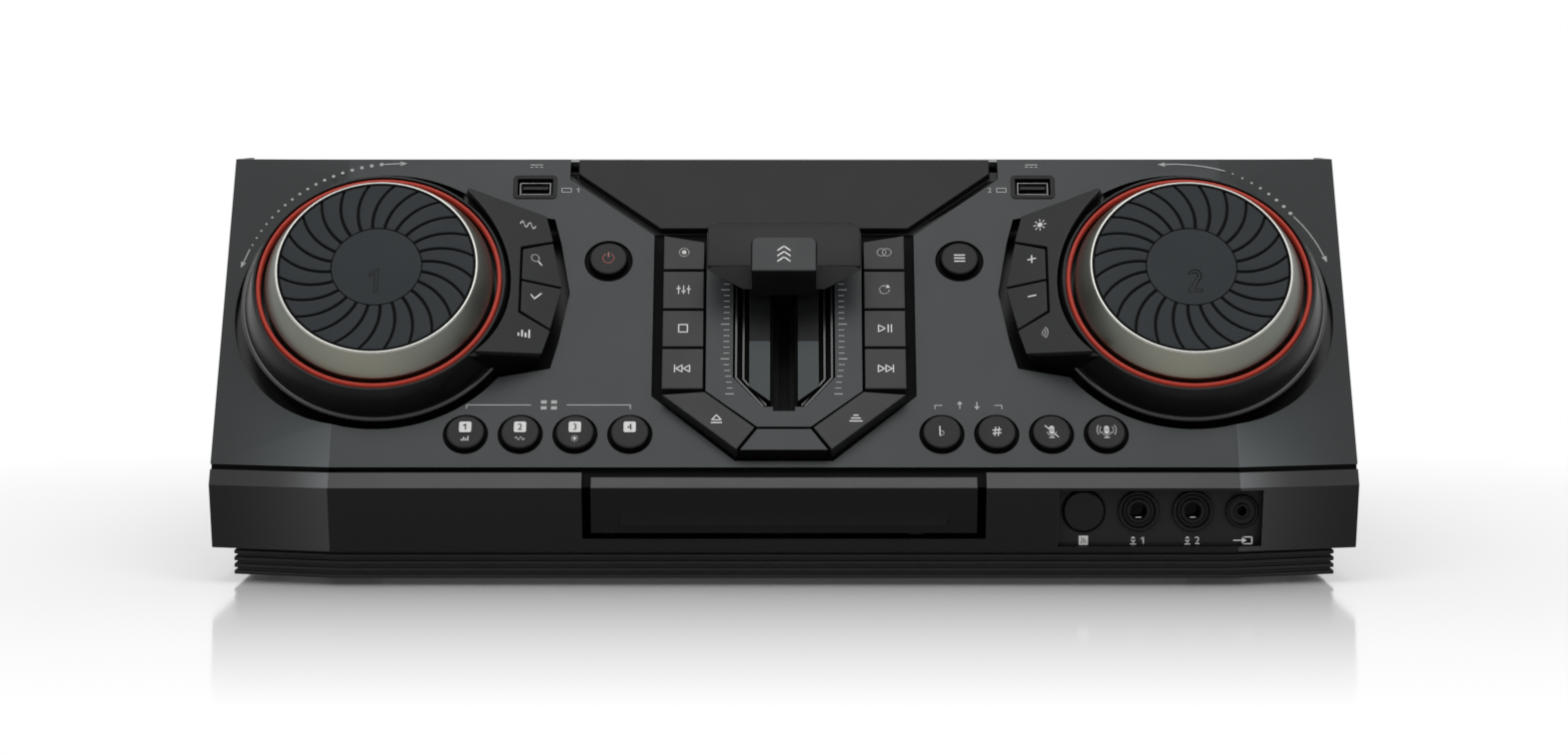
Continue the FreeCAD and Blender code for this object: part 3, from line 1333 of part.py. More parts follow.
def loader():
    disc_tray()
    centre = tray_gear()
    frame = loose_body("loader_chassis")
    front = f"({NOSE_Y} + loader_front)"
    floor_top = "(loader_floor + loader_floor_wall)"
    floor = at_height(frame, "loader_floor")
    rectangle(floor, "0 - loader_half", "loader_half", front, LOADER_BACK)
    pad(frame, floor, "loader_floor_wall")
    legs = at_height(frame, CHASSIS_TOP)
    for side in (1, -1):
        for near, far in ((front, f"{front} + loader_leg"), (f"{LOADER_BACK} - loader_leg", LOADER_BACK)):
            rectangle(legs, f"{side} * loader_half", f"{side} * (loader_half - loader_leg)", near, far)
    pad(frame, legs, f"loader_floor - {CHASSIS_TOP}")
    walls = at_height(frame, "loader_floor")
    for side in (1, -1):
        rectangle(walls, f"{side} * (tray_half + slide_gap)", f"{side} * loader_half", front, LOADER_BACK)
    pad(frame, walls, "loader_head - loader_floor")
    for low in ("tray_floor - slide_gap - loader_ledge_wall", "tray_floor + tray_wall + slide_gap"):
        ledges = at_height(frame, low)
        for side in (1, -1):
            rectangle(ledges, f"{side} * (tray_half - loader_ledge)", f"{side} * loader_half", front, LOADER_BACK)
        pad(frame, ledges, "loader_ledge_wall")
    bridge = at_height(frame, "loader_head - bridge_wall")
    rectangle(bridge, "0 - loader_half", "loader_half", f"{DISC_Y} - bridge_half", f"{DISC_Y} + bridge_half")
    pad(frame, bridge, "bridge_wall")
    boss = circle(at_height(frame, "loader_floor"), centre, GEAR_Y, "gear_boss_radius")
    pad(frame, boss, "gear_foot - slide_gap - loader_floor")
    axle = circle(at_height(frame, "loader_floor"), centre, GEAR_Y, "gear_pin_radius")
    pad(frame, axle, "gear_pin_head - loader_floor")
    posts = at_height(frame, "loader_floor")
    for side in (1, -1):
        for near in (f"{ROD_FRONT} - rod_post", ROD_BACK):
            rectangle(posts, f"{side} * rod_across - rod_radius * 2", f"{side} * rod_across + rod_radius * 2",
                      near, f"{near} + rod_post")
    pad(frame, posts, "rod_height + rod_radius - loader_floor")
    lying = turn((1, 0, 0), "0 - 90")
    rods = [rod("pickup_rod", "rod_radius", "rod_length",
                place(f"{side} * rod_across", ROD_FRONT, "rod_height", lying)) for side in (1, -1)]
    motor = loose_body("spindle_motor", place("0", DISC_Y, floor_top))
    revolve(motor, [("spindle_radius + shaft_gap", "0"), ("motor_radius", "0"),
                    ("motor_radius", "motor_height"), ("spindle_radius + shaft_gap", "motor_height")])
    group("loader_frame", [frame, motor] + rods)

    turntable = body("disc_turntable", place("0", DISC_Y, "0"))
    revolve(turntable, [("0", "spindle_foot"), ("spindle_radius", "spindle_foot"),
                        ("spindle_radius", "turntable_foot"), ("turntable_radius", "turntable_foot"),
                        ("turntable_radius", "turntable_foot + turntable_wall"),
                        ("0", "turntable_foot + turntable_wall")])

    pickup = body("optical_pickup")
    sled = at_height(pickup, "pickup_floor")
    rectangle(sled, "0 - pickup_half", "pickup_half", PICKUP_FRONT, f"{PICKUP_FRONT} + pickup_length")
    pad(pickup, sled, "pickup_height")
    bores = sketch(pickup, place(y=f"{PICKUP_FRONT} - overrun", turned=turn((1, 0, 0), "90")))
    for side in (1, -1):
        circle(bores, f"{side} * rod_across", "rod_height", "rod_radius + slide_gap")
    pocket(pickup, bores, "pickup_length + overrun * 2")
    lens = circle(at_height(pickup, "pickup_floor"), "0", f"{PICKUP_FRONT} + pickup_length / 2", "lens_radius")
    pad(pickup, lens, "pickup_height + lens_proud")


# Electronics behind the front, and the rear sockets.

def electronics():
    low = f"({CHASSIS_TOP} + standoff)"
    size = (f"{MAIN_RIGHT} - {MAIN_LEFT}", "main_length", "board_wall")
    top = f"({low} + board_wall)"
    sink = loose_body("heat_sink", place(f"{MAIN_RIGHT} - sink_width", f"{MAIN_FRONT} + standoff_inset * 2", top))
    base = rectangle(sketch(sink), "0", "sink_base", "0", "sink_length")
    pad(sink, base, "sink_height")
    fin = rectangle(sketch(sink), "0", "sink_width", "0", "sink_fin")
    fin_pad = pad(sink, fin, "sink_height")
    fins = sink.newObject("PartDesign::LinearPattern", "sink_fins_row")
    fins.Originals = [fin_pad]
    fins.Direction = (fin, ["V_Axis"])
    fins.setExpression("Length", bind("sink_length - sink_fin"))
    fins.setExpression("Occurrences", bind("sink_fins"))
    sink.Tip = fins
    cans = [rod("amplifier_can", "can_radius", "can_height",
                place(f"{MAIN_LEFT} + can_radius * 2", f"{MAIN_FRONT} + can_radius * (2 + {index} * 3)", top))
            for index in range(3)]
    group("main_board", [block("amplifier_board", size, place(MAIN_LEFT, MAIN_FRONT, low)), sink] + cans)

    core = loose_body("transformer_core", place(f"0 - {MAIN_RIGHT} + can_radius", f"{MAIN_FRONT} + can_radius * 3", top))
    shape = rectangle(sketch(core), "0", "core_width", "0", "core_length")
    pad(core, shape, "core_height")
    coil = rectangle(at_height(core, "core_coil"), "core_coil", "core_width - core_coil",
                     "0 - core_coil", "core_length + core_coil")
    pad(core, coil, "core_height - core_coil * 2")
    cans = [rod("supply_can", "can_radius", "can_height",
                place(f"0 - {MAIN_LEFT} - can_radius * 2",
                      f"{MAIN_FRONT} + core_length + core_coil + can_radius * (5 + {index} * 3)", top))
            for index in range(2)]
    plate = block("supply_board", size, place(f"0 - {MAIN_RIGHT}", MAIN_FRONT, low))
    group("power_supply", [plate, core] + cans)


def rear_place(x, z):
    return place(x, f"{REAR_Y} - rear_wall", z, turn((1, 0, 0), "90"))


def fan():
    frame = body("fan_frame", rear_place("0", "fan_z"))
    face = sketch(frame)
    rectangle(face, "0 - fan_half", "fan_half", "0 - fan_half", "fan_half")
    circle(face, "0", "0", "fan_bore")
    pad(frame, face, "fan_depth")
    for across, along in (("fan_half", "fan_spider_half"), ("fan_spider_half", "fan_half")):
        arm = rectangle(at_height(frame, "fan_depth"), f"0 - {across}", across, f"0 - {along}", along)
        pad(frame, arm, "fan_spider_wall", down=True)
    axle = circle(at_height(frame, "fan_depth"), "0", "0", "fan_pin_radius")
    pad(frame, axle, "fan_depth - fan_spider_wall", down=True)
    rotor = body("fan_rotor", rear_place("0", "fan_z"))
    foot = "fan_rotor_gap * 2"
    tall = "fan_depth - fan_spider_wall - fan_rotor_gap * 3"
    hub = at_height(rotor, foot)
    circle(hub, "0", "0", "fan_hub_radius")
    circle(hub, "0", "0", "fan_pin_radius + shaft_gap")
    pad(rotor, hub, tall)
    middle = f"{foot} + ({tall}) / 2"
    pitched = turn((1, 0, 0), "fan_blade_pitch")
    blade = sketch(rotor, place("fan_hub_radius * 0.8", "0", middle, pitched))
    rectangle(blade, "0", "fan_rotor_radius - fan_hub_radius * 0.8", f"0 - ({tall}) * 0.6", f"({tall}) * 0.6")
    blade_pad = pad(rotor, blade, "fan_blade_wall", middle=True)
    blades = rotor.newObject("PartDesign::PolarPattern", "fan_blade_ring")
    blades.Originals = [blade_pad]
    blades.Axis = (hub.getParentGeoFeatureGroup().Origin.OriginFeatures[2], [""])
    blades.setExpression("Occurrences", bind("fan_blades"))
    rotor.Tip = blades


def rear_sockets():
    out = "(rear_wall + socket_proud)"
    terminal = loose_body("speaker_terminal", rear_place(TERMINAL_X, "terminal_z"))
    outer = sketch(terminal, place(z=f"0 - {out}"))
    rectangle(outer, "0 - terminal_width / 2", "terminal_width / 2", "0 - terminal_height / 2", "terminal_height / 2")
    pad(terminal, outer, f"{out} + socket_depth")
    holes = sketch(terminal, place(z=f"0 - {out}"))
    for column in (-1, 1):
        middle = f"{column} * terminal_width / 4"
        rectangle(holes, f"{middle} - terminal_mouth_width / 2", f"{middle} + terminal_mouth_width / 2",
                  "0 - terminal_mouth_height / 2", "terminal_mouth_height / 2")
    pocket(terminal, holes, "socket_depth", up=True)
    pieces = [terminal]
    for shift in (-1, 1):
        phono = loose_body("phono_socket", rear_place(f"{PHONO_X} + {shift} * phono_pitch / 2", "phono_z"))
        revolve(phono, [("phono_bore", f"0 - {out}"), ("phono_radius", f"0 - {out}"), ("phono_radius", "socket_depth"),
                        ("0", "socket_depth"), ("0", "socket_depth / 2"), ("phono_bore", "socket_depth / 2")])
        pieces.append(phono)
    inlet = loose_body("mains_inlet", rear_place(INLET_X, "inlet_z"))
    case = sketch(inlet, place(z=f"0 - {out}"))
    rectangle(case, "0 - inlet_width / 2", "inlet_width / 2", "0 - inlet_height / 2", "inlet_height / 2")
    pad(inlet, case, f"{out} + socket_depth")
    mouth = sketch(inlet, place(z=f"0 - {out}"))
    rectangle(mouth, "0 - inlet_bore_width / 2", "inlet_bore_width / 2", "0 - inlet_bore_height / 2",
              "inlet_bore_height / 2")
    pocket(inlet, mouth, "inlet_depth", up=True)
    pins = sketch(inlet, place(z=f"inlet_depth - {out}"))
    for shift in (-1, 1):
        circle(pins, f"{shift} * inlet_bore_width / 4", "0", "inlet_pin_radius")
    pad(inlet, pins, "inlet_depth * 0.8", down=True)
    group("rear_sockets", pieces + [inlet])


control_panel()
front_bezel()
front_fittings()
base_and_cover()
dials()
round_buttons()
centre_console()
lever()
display_window()
usb_sockets()
control_board()
loader()
electronics()
fan()
rear_sockets()
document.recompute()

failed = [item.Label for item in document.Objects if {"Invalid", "Error"} & set(item.State)]
failed += [node.Label for node in NODES if node.Shape.isNull() or not node.Shape.isValid()]
if failed:
    raise RuntimeError("these pieces failed: " + ", ".join(failed))
os.makedirs("parts", exist_ok=True)
for node in NODES:
    node.Shape.exportStep(f"parts/{node.Label}.step")
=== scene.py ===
import json
from math import atan2, cos, pi, radians, sin

import bmesh
import bpy
from mathutils import Matrix, Vector


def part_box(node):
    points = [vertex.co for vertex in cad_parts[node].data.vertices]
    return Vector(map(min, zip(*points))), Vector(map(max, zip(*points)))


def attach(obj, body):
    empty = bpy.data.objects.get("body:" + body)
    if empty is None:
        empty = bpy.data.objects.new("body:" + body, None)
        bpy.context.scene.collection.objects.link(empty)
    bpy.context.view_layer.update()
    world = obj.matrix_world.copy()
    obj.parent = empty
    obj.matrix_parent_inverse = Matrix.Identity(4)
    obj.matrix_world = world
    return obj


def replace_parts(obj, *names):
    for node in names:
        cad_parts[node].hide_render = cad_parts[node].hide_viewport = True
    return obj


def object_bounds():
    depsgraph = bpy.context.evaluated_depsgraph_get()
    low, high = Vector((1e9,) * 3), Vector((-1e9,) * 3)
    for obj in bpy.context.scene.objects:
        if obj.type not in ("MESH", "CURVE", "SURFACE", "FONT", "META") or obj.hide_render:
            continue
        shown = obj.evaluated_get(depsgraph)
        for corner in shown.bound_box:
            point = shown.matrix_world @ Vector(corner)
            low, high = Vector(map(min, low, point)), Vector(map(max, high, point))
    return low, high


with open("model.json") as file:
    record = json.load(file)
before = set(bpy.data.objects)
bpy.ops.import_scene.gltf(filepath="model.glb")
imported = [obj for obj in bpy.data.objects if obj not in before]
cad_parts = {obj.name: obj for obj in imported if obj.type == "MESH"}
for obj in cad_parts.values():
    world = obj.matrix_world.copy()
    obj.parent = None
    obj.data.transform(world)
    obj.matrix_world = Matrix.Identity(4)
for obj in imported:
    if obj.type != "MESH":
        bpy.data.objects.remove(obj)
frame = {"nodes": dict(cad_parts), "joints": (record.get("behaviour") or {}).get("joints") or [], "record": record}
cad_low, cad_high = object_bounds()

MM = 0.001
JOINTS = {joint["child"]: joint for joint in frame["joints"]}
SIDES = {"left": -1, "right": 1}
WORLD = Matrix.Scale(MM, 4)
CROWN_DEPTH = 0.6


# Frames of the sloped panel, the dials and the pods, in millimetres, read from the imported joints.

def placed(origin, x_axis, z_axis):
    y_axis = z_axis.cross(x_axis)
    turned_axes = Matrix((x_axis, y_axis, z_axis)).transposed().to_4x4()
    return Matrix.Translation(origin) @ turned_axes @ WORLD


ACROSS = Vector((1, 0, 0))
REARWARD = Vector((0, 1, 0))
OUTWARD = -Vector(JOINTS["power_button"]["axis"]).normalized()
PANEL_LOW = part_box("control_panel")[0]
PANEL = placed(Vector((0, PANEL_LOW.y, PANEL_LOW.z)), ACROSS, OUTWARD)


def on_panel(point):
    return PANEL.inverted() @ Vector(point)


def shifted(where, x, y, z=0.0):
    return where @ Matrix.Translation((x, y, z))


def dial_frame(side):
    spot = on_panel(JOINTS[f"{side}_dial"]["pos_m"])
    return shifted(PANEL, spot.x, spot.y)


def pod_frame(side):
    along = Vector(JOINTS[f"{side}_rocker_key"]["axis"]).normalized()
    out = -Vector(JOINTS[f"{side}_pod_key_1"]["axis"]).normalized()
    return placed(Vector(JOINTS[f"{side}_rocker_key"]["pos_m"]), along, out)


def middle_of(spots):
    return [(min(spot[axis] for spot in spots) + max(spot[axis] for spot in spots)) / 2 for axis in (0, 1)]


def top_of(node, where):
    back = where.inverted()
    spots = [back @ vertex.co for vertex in frame["nodes"][node].data.vertices]
    head = max(spot.z for spot in spots)
    crown = [spot for spot in spots if spot.z > head - CROWN_DEPTH]
    return Vector((*middle_of(crown), head))


def body_of(node):
    for body, members in frame["record"]["behaviour"]["bodies"].items():
        if node in members:
            return body


def slot_of(node):
    for entry in frame["record"]["subparts"]:
        if entry["node"] == node:
            return entry["material_slot"]


# Shader maths: a wire is a socket that takes part in sums.

class Wire:
    def __init__(self, finish, socket):
        self.finish = finish
        self.socket = socket

    def sum(self, operation, first, second=0.0):
        return self.finish.add("ShaderNodeMath", {"operation": operation}, {0: first, 1: second})

    def __add__(self, other):
        return self.sum("ADD", self, other)

    def __radd__(self, other):
        return self.sum("ADD", other, self)

    def __sub__(self, other):
        return self.sum("SUBTRACT", self, other)

    def __rsub__(self, other):
        return self.sum("SUBTRACT", other, self)

    def __mul__(self, other):
        return self.sum("MULTIPLY", self, other)

    def __rmul__(self, other):
        return self.sum("MULTIPLY", other, self)

    def __pow__(self, other):
        return self.sum("POWER", self, other)

    def __abs__(self):
        return self.sum("ABSOLUTE", self)

    def above(self, level):
        return self.sum("GREATER_THAN", self, level)

    def most(self, other):
        return self.sum("MAXIMUM", self, other)

    def least(self, other):
        return self.sum("MINIMUM", self, other)


class Finish:
    def __init__(self, owner):
        owner.use_nodes = True
        self.owner = owner
        self.tree = owner.node_tree
        self.tree.nodes.clear()
        self.place = None

    def add(self, kind, settings, sockets, out=0):
        node = self.tree.nodes.new(kind)
        for name, value in settings.items():
            setattr(node, name, value)
        for name, value in sockets.items():
            if isinstance(value, Wire):
                self.tree.links.new(value.socket, node.inputs[name])
            else:
                node.inputs[name].default_value = value
        return Wire(self, node.outputs[out]) if node.outputs else None

    def noise(self, scale, detail=2, place=None, stretch=None):
        place = place or self.place
        if stretch:
            place = self.add("ShaderNodeVectorMath", {"operation": "MULTIPLY"}, {0: place, 1: stretch})
        return self.add("ShaderNodeTexNoise", {}, {"Vector": place, "Scale": scale, "Detail": detail})

    def parts(self, place):
        return [self.add("ShaderNodeSeparateXYZ", {}, {"Vector": place}, axis) for axis in "XYZ"]

    def local(self, where):
        sockets = {"Vector": self.place, "Location": where.to_translation(), "Rotation": where.to_euler()}
        return self.add("ShaderNodeMapping", {"vector_type": "TEXTURE"}, sockets)

    def tint(self, share, dark, light):
        first = dark if isinstance(dark, Wire) else (*dark, 1)
        return self.add("ShaderNodeMix", {"data_type": "RGBA"}, {0: share, 6: first, 7: (*light, 1)}, 2)

    def mottled(self, share, colour, dark, light):
        return self.tint(share, shade(colour, dark), shade(colour, light))

    def relief(self, height, strength, depth):
        return self.add("ShaderNodeBump", {}, {"Height": height, "Strength": strength, "Distance": depth})

    def surface(self, sockets):
        shader = self.add("ShaderNodeBsdfPrincipled", {}, sockets)
        self.add("ShaderNodeOutputMaterial", {}, {"Surface": shader})
        return self.owner

    def background_rays(self):
        rays = [self.add("ShaderNodeLightPath", {}, {}, f"Is {kind} Ray")
                for kind in ("Camera", "Glossy", "Transmission")]
        return rays[0].most(rays[1]).most(rays[2])


def paint(name):
    finish = Finish(bpy.data.materials.new(name))
    finish.place = finish.add("ShaderNodeTexCoord", {}, {}, "Object")
    return finish


def shade(colour, share):
    return tuple(channel * share for channel in colour)


def grey(level):
    return (level, level, level)


# Finishes. Past the fold at each end the front catches more light; the fold setting paints it into the colour as a
# painted highlight along the fold, with painted shade further out.

FOLD_HALF = 184.8
FADE_FOOT = 0.045
FADE_RATE = 18


# Painted highlight and shade: lighter near the fold, fading outward and upward, and darker further past the fold
# by the dim share.
def fold_light(finish, base, colour, width, highlight_gain, dim):
    x, _, z = finish.parts(finish.place)
    beyond = abs(x) - FOLD_HALF * MM
    outside = beyond.above(0.0)
    share = (1 - beyond * (1 / (width * MM))).most(0.0) ** 1.5
    low = (1 - (z - FADE_FOOT) * FADE_RATE).most(0.0).least(1.0)
    fold_shaded = finish.tint(outside * dim, base, shade(colour, 0.2))
    return finish.tint(share * outside * low, fold_shaded, shade(colour, highlight_gain))


def moulded(name, colour, rough, shine, grain=2600, depth=0.00004, wear=0.14, fold=None):
    finish = paint(name)
    speck = finish.noise(grain, 3)
    cloud = finish.noise(22, 3)
    smear = finish.noise(90, 4, stretch=(1, 0.35, 0.6))
    base = finish.mottled(speck * 0.5 + cloud * 0.5, colour, 0.8, 1.2)
    if fold:
        base = fold_light(finish, base, colour, *fold)
    sockets = {"Base Color": base, "Roughness": rough - wear / 2 + smear * wear, "Specular IOR Level": shine}
    if depth:
        sockets["Normal"] = finish.relief(speck, 0.5, depth)
    return finish.surface(sockets)


# Bars with a painted lever shadow: lighter below a set height up the panel, darker above it where the lever's
# shadow falls.
def light_guide(name, low, high, step):
    finish = paint(name)
    rise = finish.parts(finish.local(PANEL))[1]
    grain = finish.noise(900)
    lit = finish.mottled(grain, low, 0.9, 1.1)
    return finish.surface({
        "Base Color": finish.tint(rise.above(step * MM), lit, high),
        "Roughness": 0.3 + grain * 0.1,
        "Specular IOR Level": 0.08})


# Turned metal: fine rings plus a painted highlight, a fan of lighter colour towards the bottom and top of the dial
# standing in for the reflection of brushed metal.
def turned_metal(name, dark, light, where):
    finish = paint(name)
    x, y, z = finish.parts(finish.local(where))
    square = x * x + y * y
    rings = finish.add("ShaderNodeCombineXYZ", {}, {"X": square ** 0.5, "Y": z})
    line = finish.noise(5200, place=rings)
    broad = finish.noise(420, place=rings)
    lean = x * 0.1 + y * 0.995
    fan = (lean * lean * square ** -1.0) ** 3.0
    return finish.surface({
        "Base Color": finish.tint(line * 0.3 + broad * 0.1 + fan * 0.6, dark, light),
        "Roughness": 0.3 + line * 0.16,
        "Metallic": 1.0,
        "Normal": finish.relief(line, 0.35, 0.00003)})


def plated(name, colour, rough):
    finish = paint(name)
    mark = finish.noise(700, 3, stretch=(1, 6, 1))
    return finish.surface({
        "Base Color": finish.mottled(mark, colour, 0.85, 1.1),
        "Roughness": rough + mark * 0.12,
        "Metallic": 1.0})


def sprayed(name, colour, rough):
    finish = paint(name)
    peel = finish.noise(900)
    cloud = finish.noise(14, 3)
    return finish.surface({
        "Base Color": finish.mottled(cloud * 0.6 + peel * 0.4, colour, 0.82, 1.2),
        "Roughness": rough + peel * 0.12,
        "Specular IOR Level": 0.25,
        "Normal": finish.relief(peel, 0.55, 0.00008)})


def rubbery(name, colour):
    finish = paint(name)
    grain = finish.noise(2200, 4)
    dust = finish.noise(45, 4)
    return finish.surface({
        "Base Color": finish.mottled(grain * 0.35 + dust * 0.65, colour, 0.85, 1.2),
        "Roughness": 0.6 + dust * 0.2,
        "Specular IOR Level": 0.2,
        "Normal": finish.relief(grain, 0.4, 0.00005)})


def lit_plastic(name, colour, glow, strength):
    finish = paint(name)
    band = finish.noise(320)
    return finish.surface({
        "Base Color": finish.mottled(band, colour, 0.88, 1.12),
        "Roughness": 0.34 + band * 0.1,
        "Specular IOR Level": 0.2,
        "Emission Color": (*glow, 1),
        "Emission Strength": strength})


def printed(name, colour):
    finish = paint(name)
    dot = finish.noise(4200)
    return finish.surface({
        "Base Color": finish.mottled(dot, colour, 0.86, 1.0),
        "Roughness": 0.55 + dot * 0.15,
        "Specular IOR Level": 0.15})


def circuit_board(name, colour):
    finish = paint(name)
    track = finish.add("ShaderNodeTexVoronoi", {"feature": "DISTANCE_TO_EDGE"},
                       {"Vector": finish.place, "Scale": 130})
    weave = finish.noise(1800)
    return finish.surface({
        "Base Color": finish.mottled(track.above(0.06) * 0.6 + weave * 0.4, colour, 0.6, 1.3),
        "Roughness": 0.45 + weave * 0.2,
        "Specular IOR Level": 0.1})


# The panel grey carries the painted fold highlight and painted fold shade.
PANEL_GREY = moulded("panel_grey", (0.0222, 0.0262, 0.0275), 0.46, 0.28, wear=0.06, fold=(46, 3.1, 0.42))
FRONT_BLACK = moulded("front_black", grey(0.0062), 0.36, 0.13, wear=0.08)
# A lighter copy of the front black with a painted fold highlight, for the bezel faces past the fold: painted
# light.
FOLD_LIT_BLACK = moulded("fold_lit_black", grey(0.0066), 0.34, 0.16, wear=0.08, fold=(50, 6.5, 0.0))
# A lighter copy of the front black for the upward bevel strip: painted light from above, with a painted fold
# highlight.
LIT_STRIP_GREY = moulded("lit_strip_grey", (0.0152, 0.0158, 0.0165), 0.3, 0.28, wear=0.08, fold=(22, 5.6, 0.2))
DOOR_BLACK = moulded("door_black", (0.0036, 0.0037, 0.0036), 0.36, 0.11, wear=0.08)
SKIRT_BLACK = moulded("skirt_black", grey(0.0042), 0.28, 0.15, depth=0, wear=0.02)
# A light grey used as a painted highlight line on edges and lips of black parts.
HIGHLIGHT_GREY = moulded("highlight_grey", grey(0.016), 0.24, 0.4, depth=0, wear=0.03)
PLINTH_BLACK = moulded("plinth_black", grey(0.0135), 0.5, 0.2)
# Near-black standing in for shade: painted shade in grooves, gaps, recesses and dark flanks.
GROOVE_SHADE_BLACK = moulded("groove_shade_black", grey(0.0022), 0.6, 0.05)
JACK_FLOOR = moulded("jack_floor", grey(0.0125), 0.5, 0.14)
KEY_GREY = moulded("key_grey", (0.0104, 0.0110, 0.0110), 0.38, 0.22)
BUTTON_GREY = moulded("button_grey", (0.0064, 0.0064, 0.0066), 0.4, 0.15)
LEVER_BLACK = moulded("lever_black", grey(0.0058), 0.36, 0.15)
# A lighter copy of the lever black for its lower forward faces: painted light.
LEVER_UNDER_LIT = moulded("lever_under_lit", grey(0.056), 0.4, 0.15)
TAB_GREY = moulded("tab_grey", (0.017, 0.019, 0.020), 0.36, 0.22)
WINDOW_BLACK = moulded("window_black", (0.0056, 0.0058, 0.0058), 0.34, 0.14, grain=3600, depth=0.00001,
                       wear=0.06)
TRACK_BLACK = moulded("track_black", grey(0.0032), 0.2, 0.12, depth=0, wear=0.03)
LOADER_GREY = moulded("loader_grey", (0.035, 0.035, 0.037), 0.5, 0.3)
PHONO_RED = moulded("phono_red", (0.33, 0.016, 0.016), 0.4, 0.3)
PHONO_WHITE = moulded("phono_white", (0.62, 0.62, 0.6), 0.4, 0.3)
# The bars beside the lever slot, with the painted lever shadow.
BAR_LEVER_SHADOW = light_guide("bar_lever_shadow", (0.054, 0.061, 0.064), (0.0075, 0.008, 0.0085), 58)
PAD_RUBBER = rubbery("pad_rubber", (0.0180, 0.0218, 0.0240))
FOOT_RUBBER = rubbery("foot_rubber", grey(0.012))
RING_RED = lit_plastic("ring_red", (0.30, 0.030, 0.018), (0.36, 0.030, 0.016), 0.2)
POWER_PINK = lit_plastic("power_pink", (0.31, 0.12, 0.105), (0.5, 0.17, 0.14), 0.1)
INK_WHITE = printed("ink_white", (0.68, 0.68, 0.67))
INK_SOFT = printed("ink_soft", grey(0.42))
INK_BLACK = printed("ink_black", (0.005, 0.0055, 0.006))
SOCKET_STEEL = plated("socket_steel", (0.52, 0.52, 0.51), 0.26)
SCREW_STEEL = plated("screw_steel", grey(0.45), 0.3)
CHASSIS_STEEL = plated("chassis_steel", (0.5, 0.51, 0.5), 0.36)
RIM_BRIGHT = plated("rim_bright", (0.38, 0.38, 0.355), 0.22)
COVER_PAINT = sprayed("cover_paint", (0.010, 0.010, 0.0105), 0.46)
BOARD_GREEN = circuit_board("board_green", (0.02, 0.11, 0.045))
BOARD_DARK = circuit_board("board_dark", (0.003, 0.004, 0.0035))


# Shapes. Welds and gaps are in millimetres, angles in degrees.

WELD = 0.002
CAD_WELD = 0.01
PART_GAP = 0.03
FLAT_ANGLE = 0.6
TURNED_ANGLE = 24
SHELL_ANGLE = 28
SMOOTH_ANGLE = 35
CORNER_ANGLE = 50
EVEN_ANGLE = 50
TURNED_STEPS = 3
CORNER_STEPS = 6


def shown(name, data):
    holder = bpy.data.objects.new(name, data)
    bpy.context.scene.collection.objects.link(holder)
    return holder


def made(name, shape, material):
    mesh = bpy.data.meshes.new(name)
    shape.to_mesh(mesh)
    shape.free()
    mesh.materials.append(material)
    return shown(name, mesh)


def finished(name, shape, material, body, slot=None):
    bmesh.ops.remove_doubles(shape, verts=shape.verts, dist=WELD * MM)
    bmesh.ops.recalc_face_normals(shape, faces=shape.faces)
    piece = made(name, shape, material)
    piece.data.shade_smooth()
    piece.data.set_sharp_from_angle(angle=radians(SMOOTH_ANGLE))
    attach(piece, body)
    return piece


# Large faces lead the shading of a rounded edge, so that flats stay flat beside it.
def evened(mesh):
    limit = cos(radians(EVEN_ANGLE))
    around = {}
    for face in mesh.polygons:
        for corner in face.vertices:
            around.setdefault(corner, []).append((face.normal.copy(), face.area))
    normals = []
    for face in mesh.polygons:
        facing = face.normal.copy()
        for corner in face.vertices:
            total = Vector((0, 0, 0))
            for other, area in around[corner]:
                if facing.dot(other) > limit:
                    total += other * area
            normals.append(total.normalized())
    mesh.normals_split_custom_set(normals)


def sharp_edges(shape, angle):
    return [side for side in shape.edges if side.is_manifold and side.calc_face_angle() > radians(angle)]


def bevelled(shape, edges, offset, steps, clamp=True):
    bmesh.ops.bevel(shape, geom=edges, offset=offset, offset_type="OFFSET", affect="EDGES", segments=steps,
                    profile=0.5, material=-1, clamp_overlap=clamp)


def rounded_over(shape, edge, steps, angle):
    bevelled(shape, sharp_edges(shape, angle), edge, steps)


# Two solids that meet face to face at one place across become one shell.
def joined_at(shape, split):
    inside = [face for face in shape.faces
              if all(abs(vertex.co.x - split * MM) < CAD_WELD * MM for vertex in face.verts)]
    bmesh.ops.delete(shape, geom=inside, context="FACES_ONLY")


# Two solids that meet at one depth are set a hair apart, so that their faces aren't welded.
def parted_at(shape, depth):
    behind = set()
    for face in shape.faces:
        past = face.calc_center_median().y / MM - depth
        if past > CAD_WELD or (past > -CAD_WELD and face.normal.y < 0):
            behind.update(face.verts)
    bmesh.ops.translate(shape, vec=(0, PART_GAP * MM, 0), verts=list(behind))


def softened(node, edge, material, steps=2, corner=None, split=None, depth=None):
    shape = bmesh.new()
    shape.from_mesh(frame["nodes"][node].data)
    if split:
        joined_at(shape, split)
    if depth:
        parted_at(shape, depth)
    bmesh.ops.remove_doubles(shape, verts=shape.verts, dist=CAD_WELD * MM)
    bmesh.ops.dissolve_limit(shape, angle_limit=radians(FLAT_ANGLE), verts=shape.verts, edges=shape.edges)
    if corner:
        test, radius = corner
        picked = [side for side in sharp_edges(shape, CORNER_ANGLE)
                  if test(*[on_panel(vertex.co) for vertex in side.verts])]
        bevelled(shape, picked, radius * MM, CORNER_STEPS, clamp=False)
    rounded_over(shape, edge * MM, steps, SHELL_ANGLE)
    piece = finished(f"{node}_shell", shape, material, body_of(node))
    evened(piece.data)
    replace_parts(piece, node)
    return piece


def dressed(node, material):
    mesh = frame["nodes"][node].data
    mesh.materials.clear()
    mesh.materials.append(material)


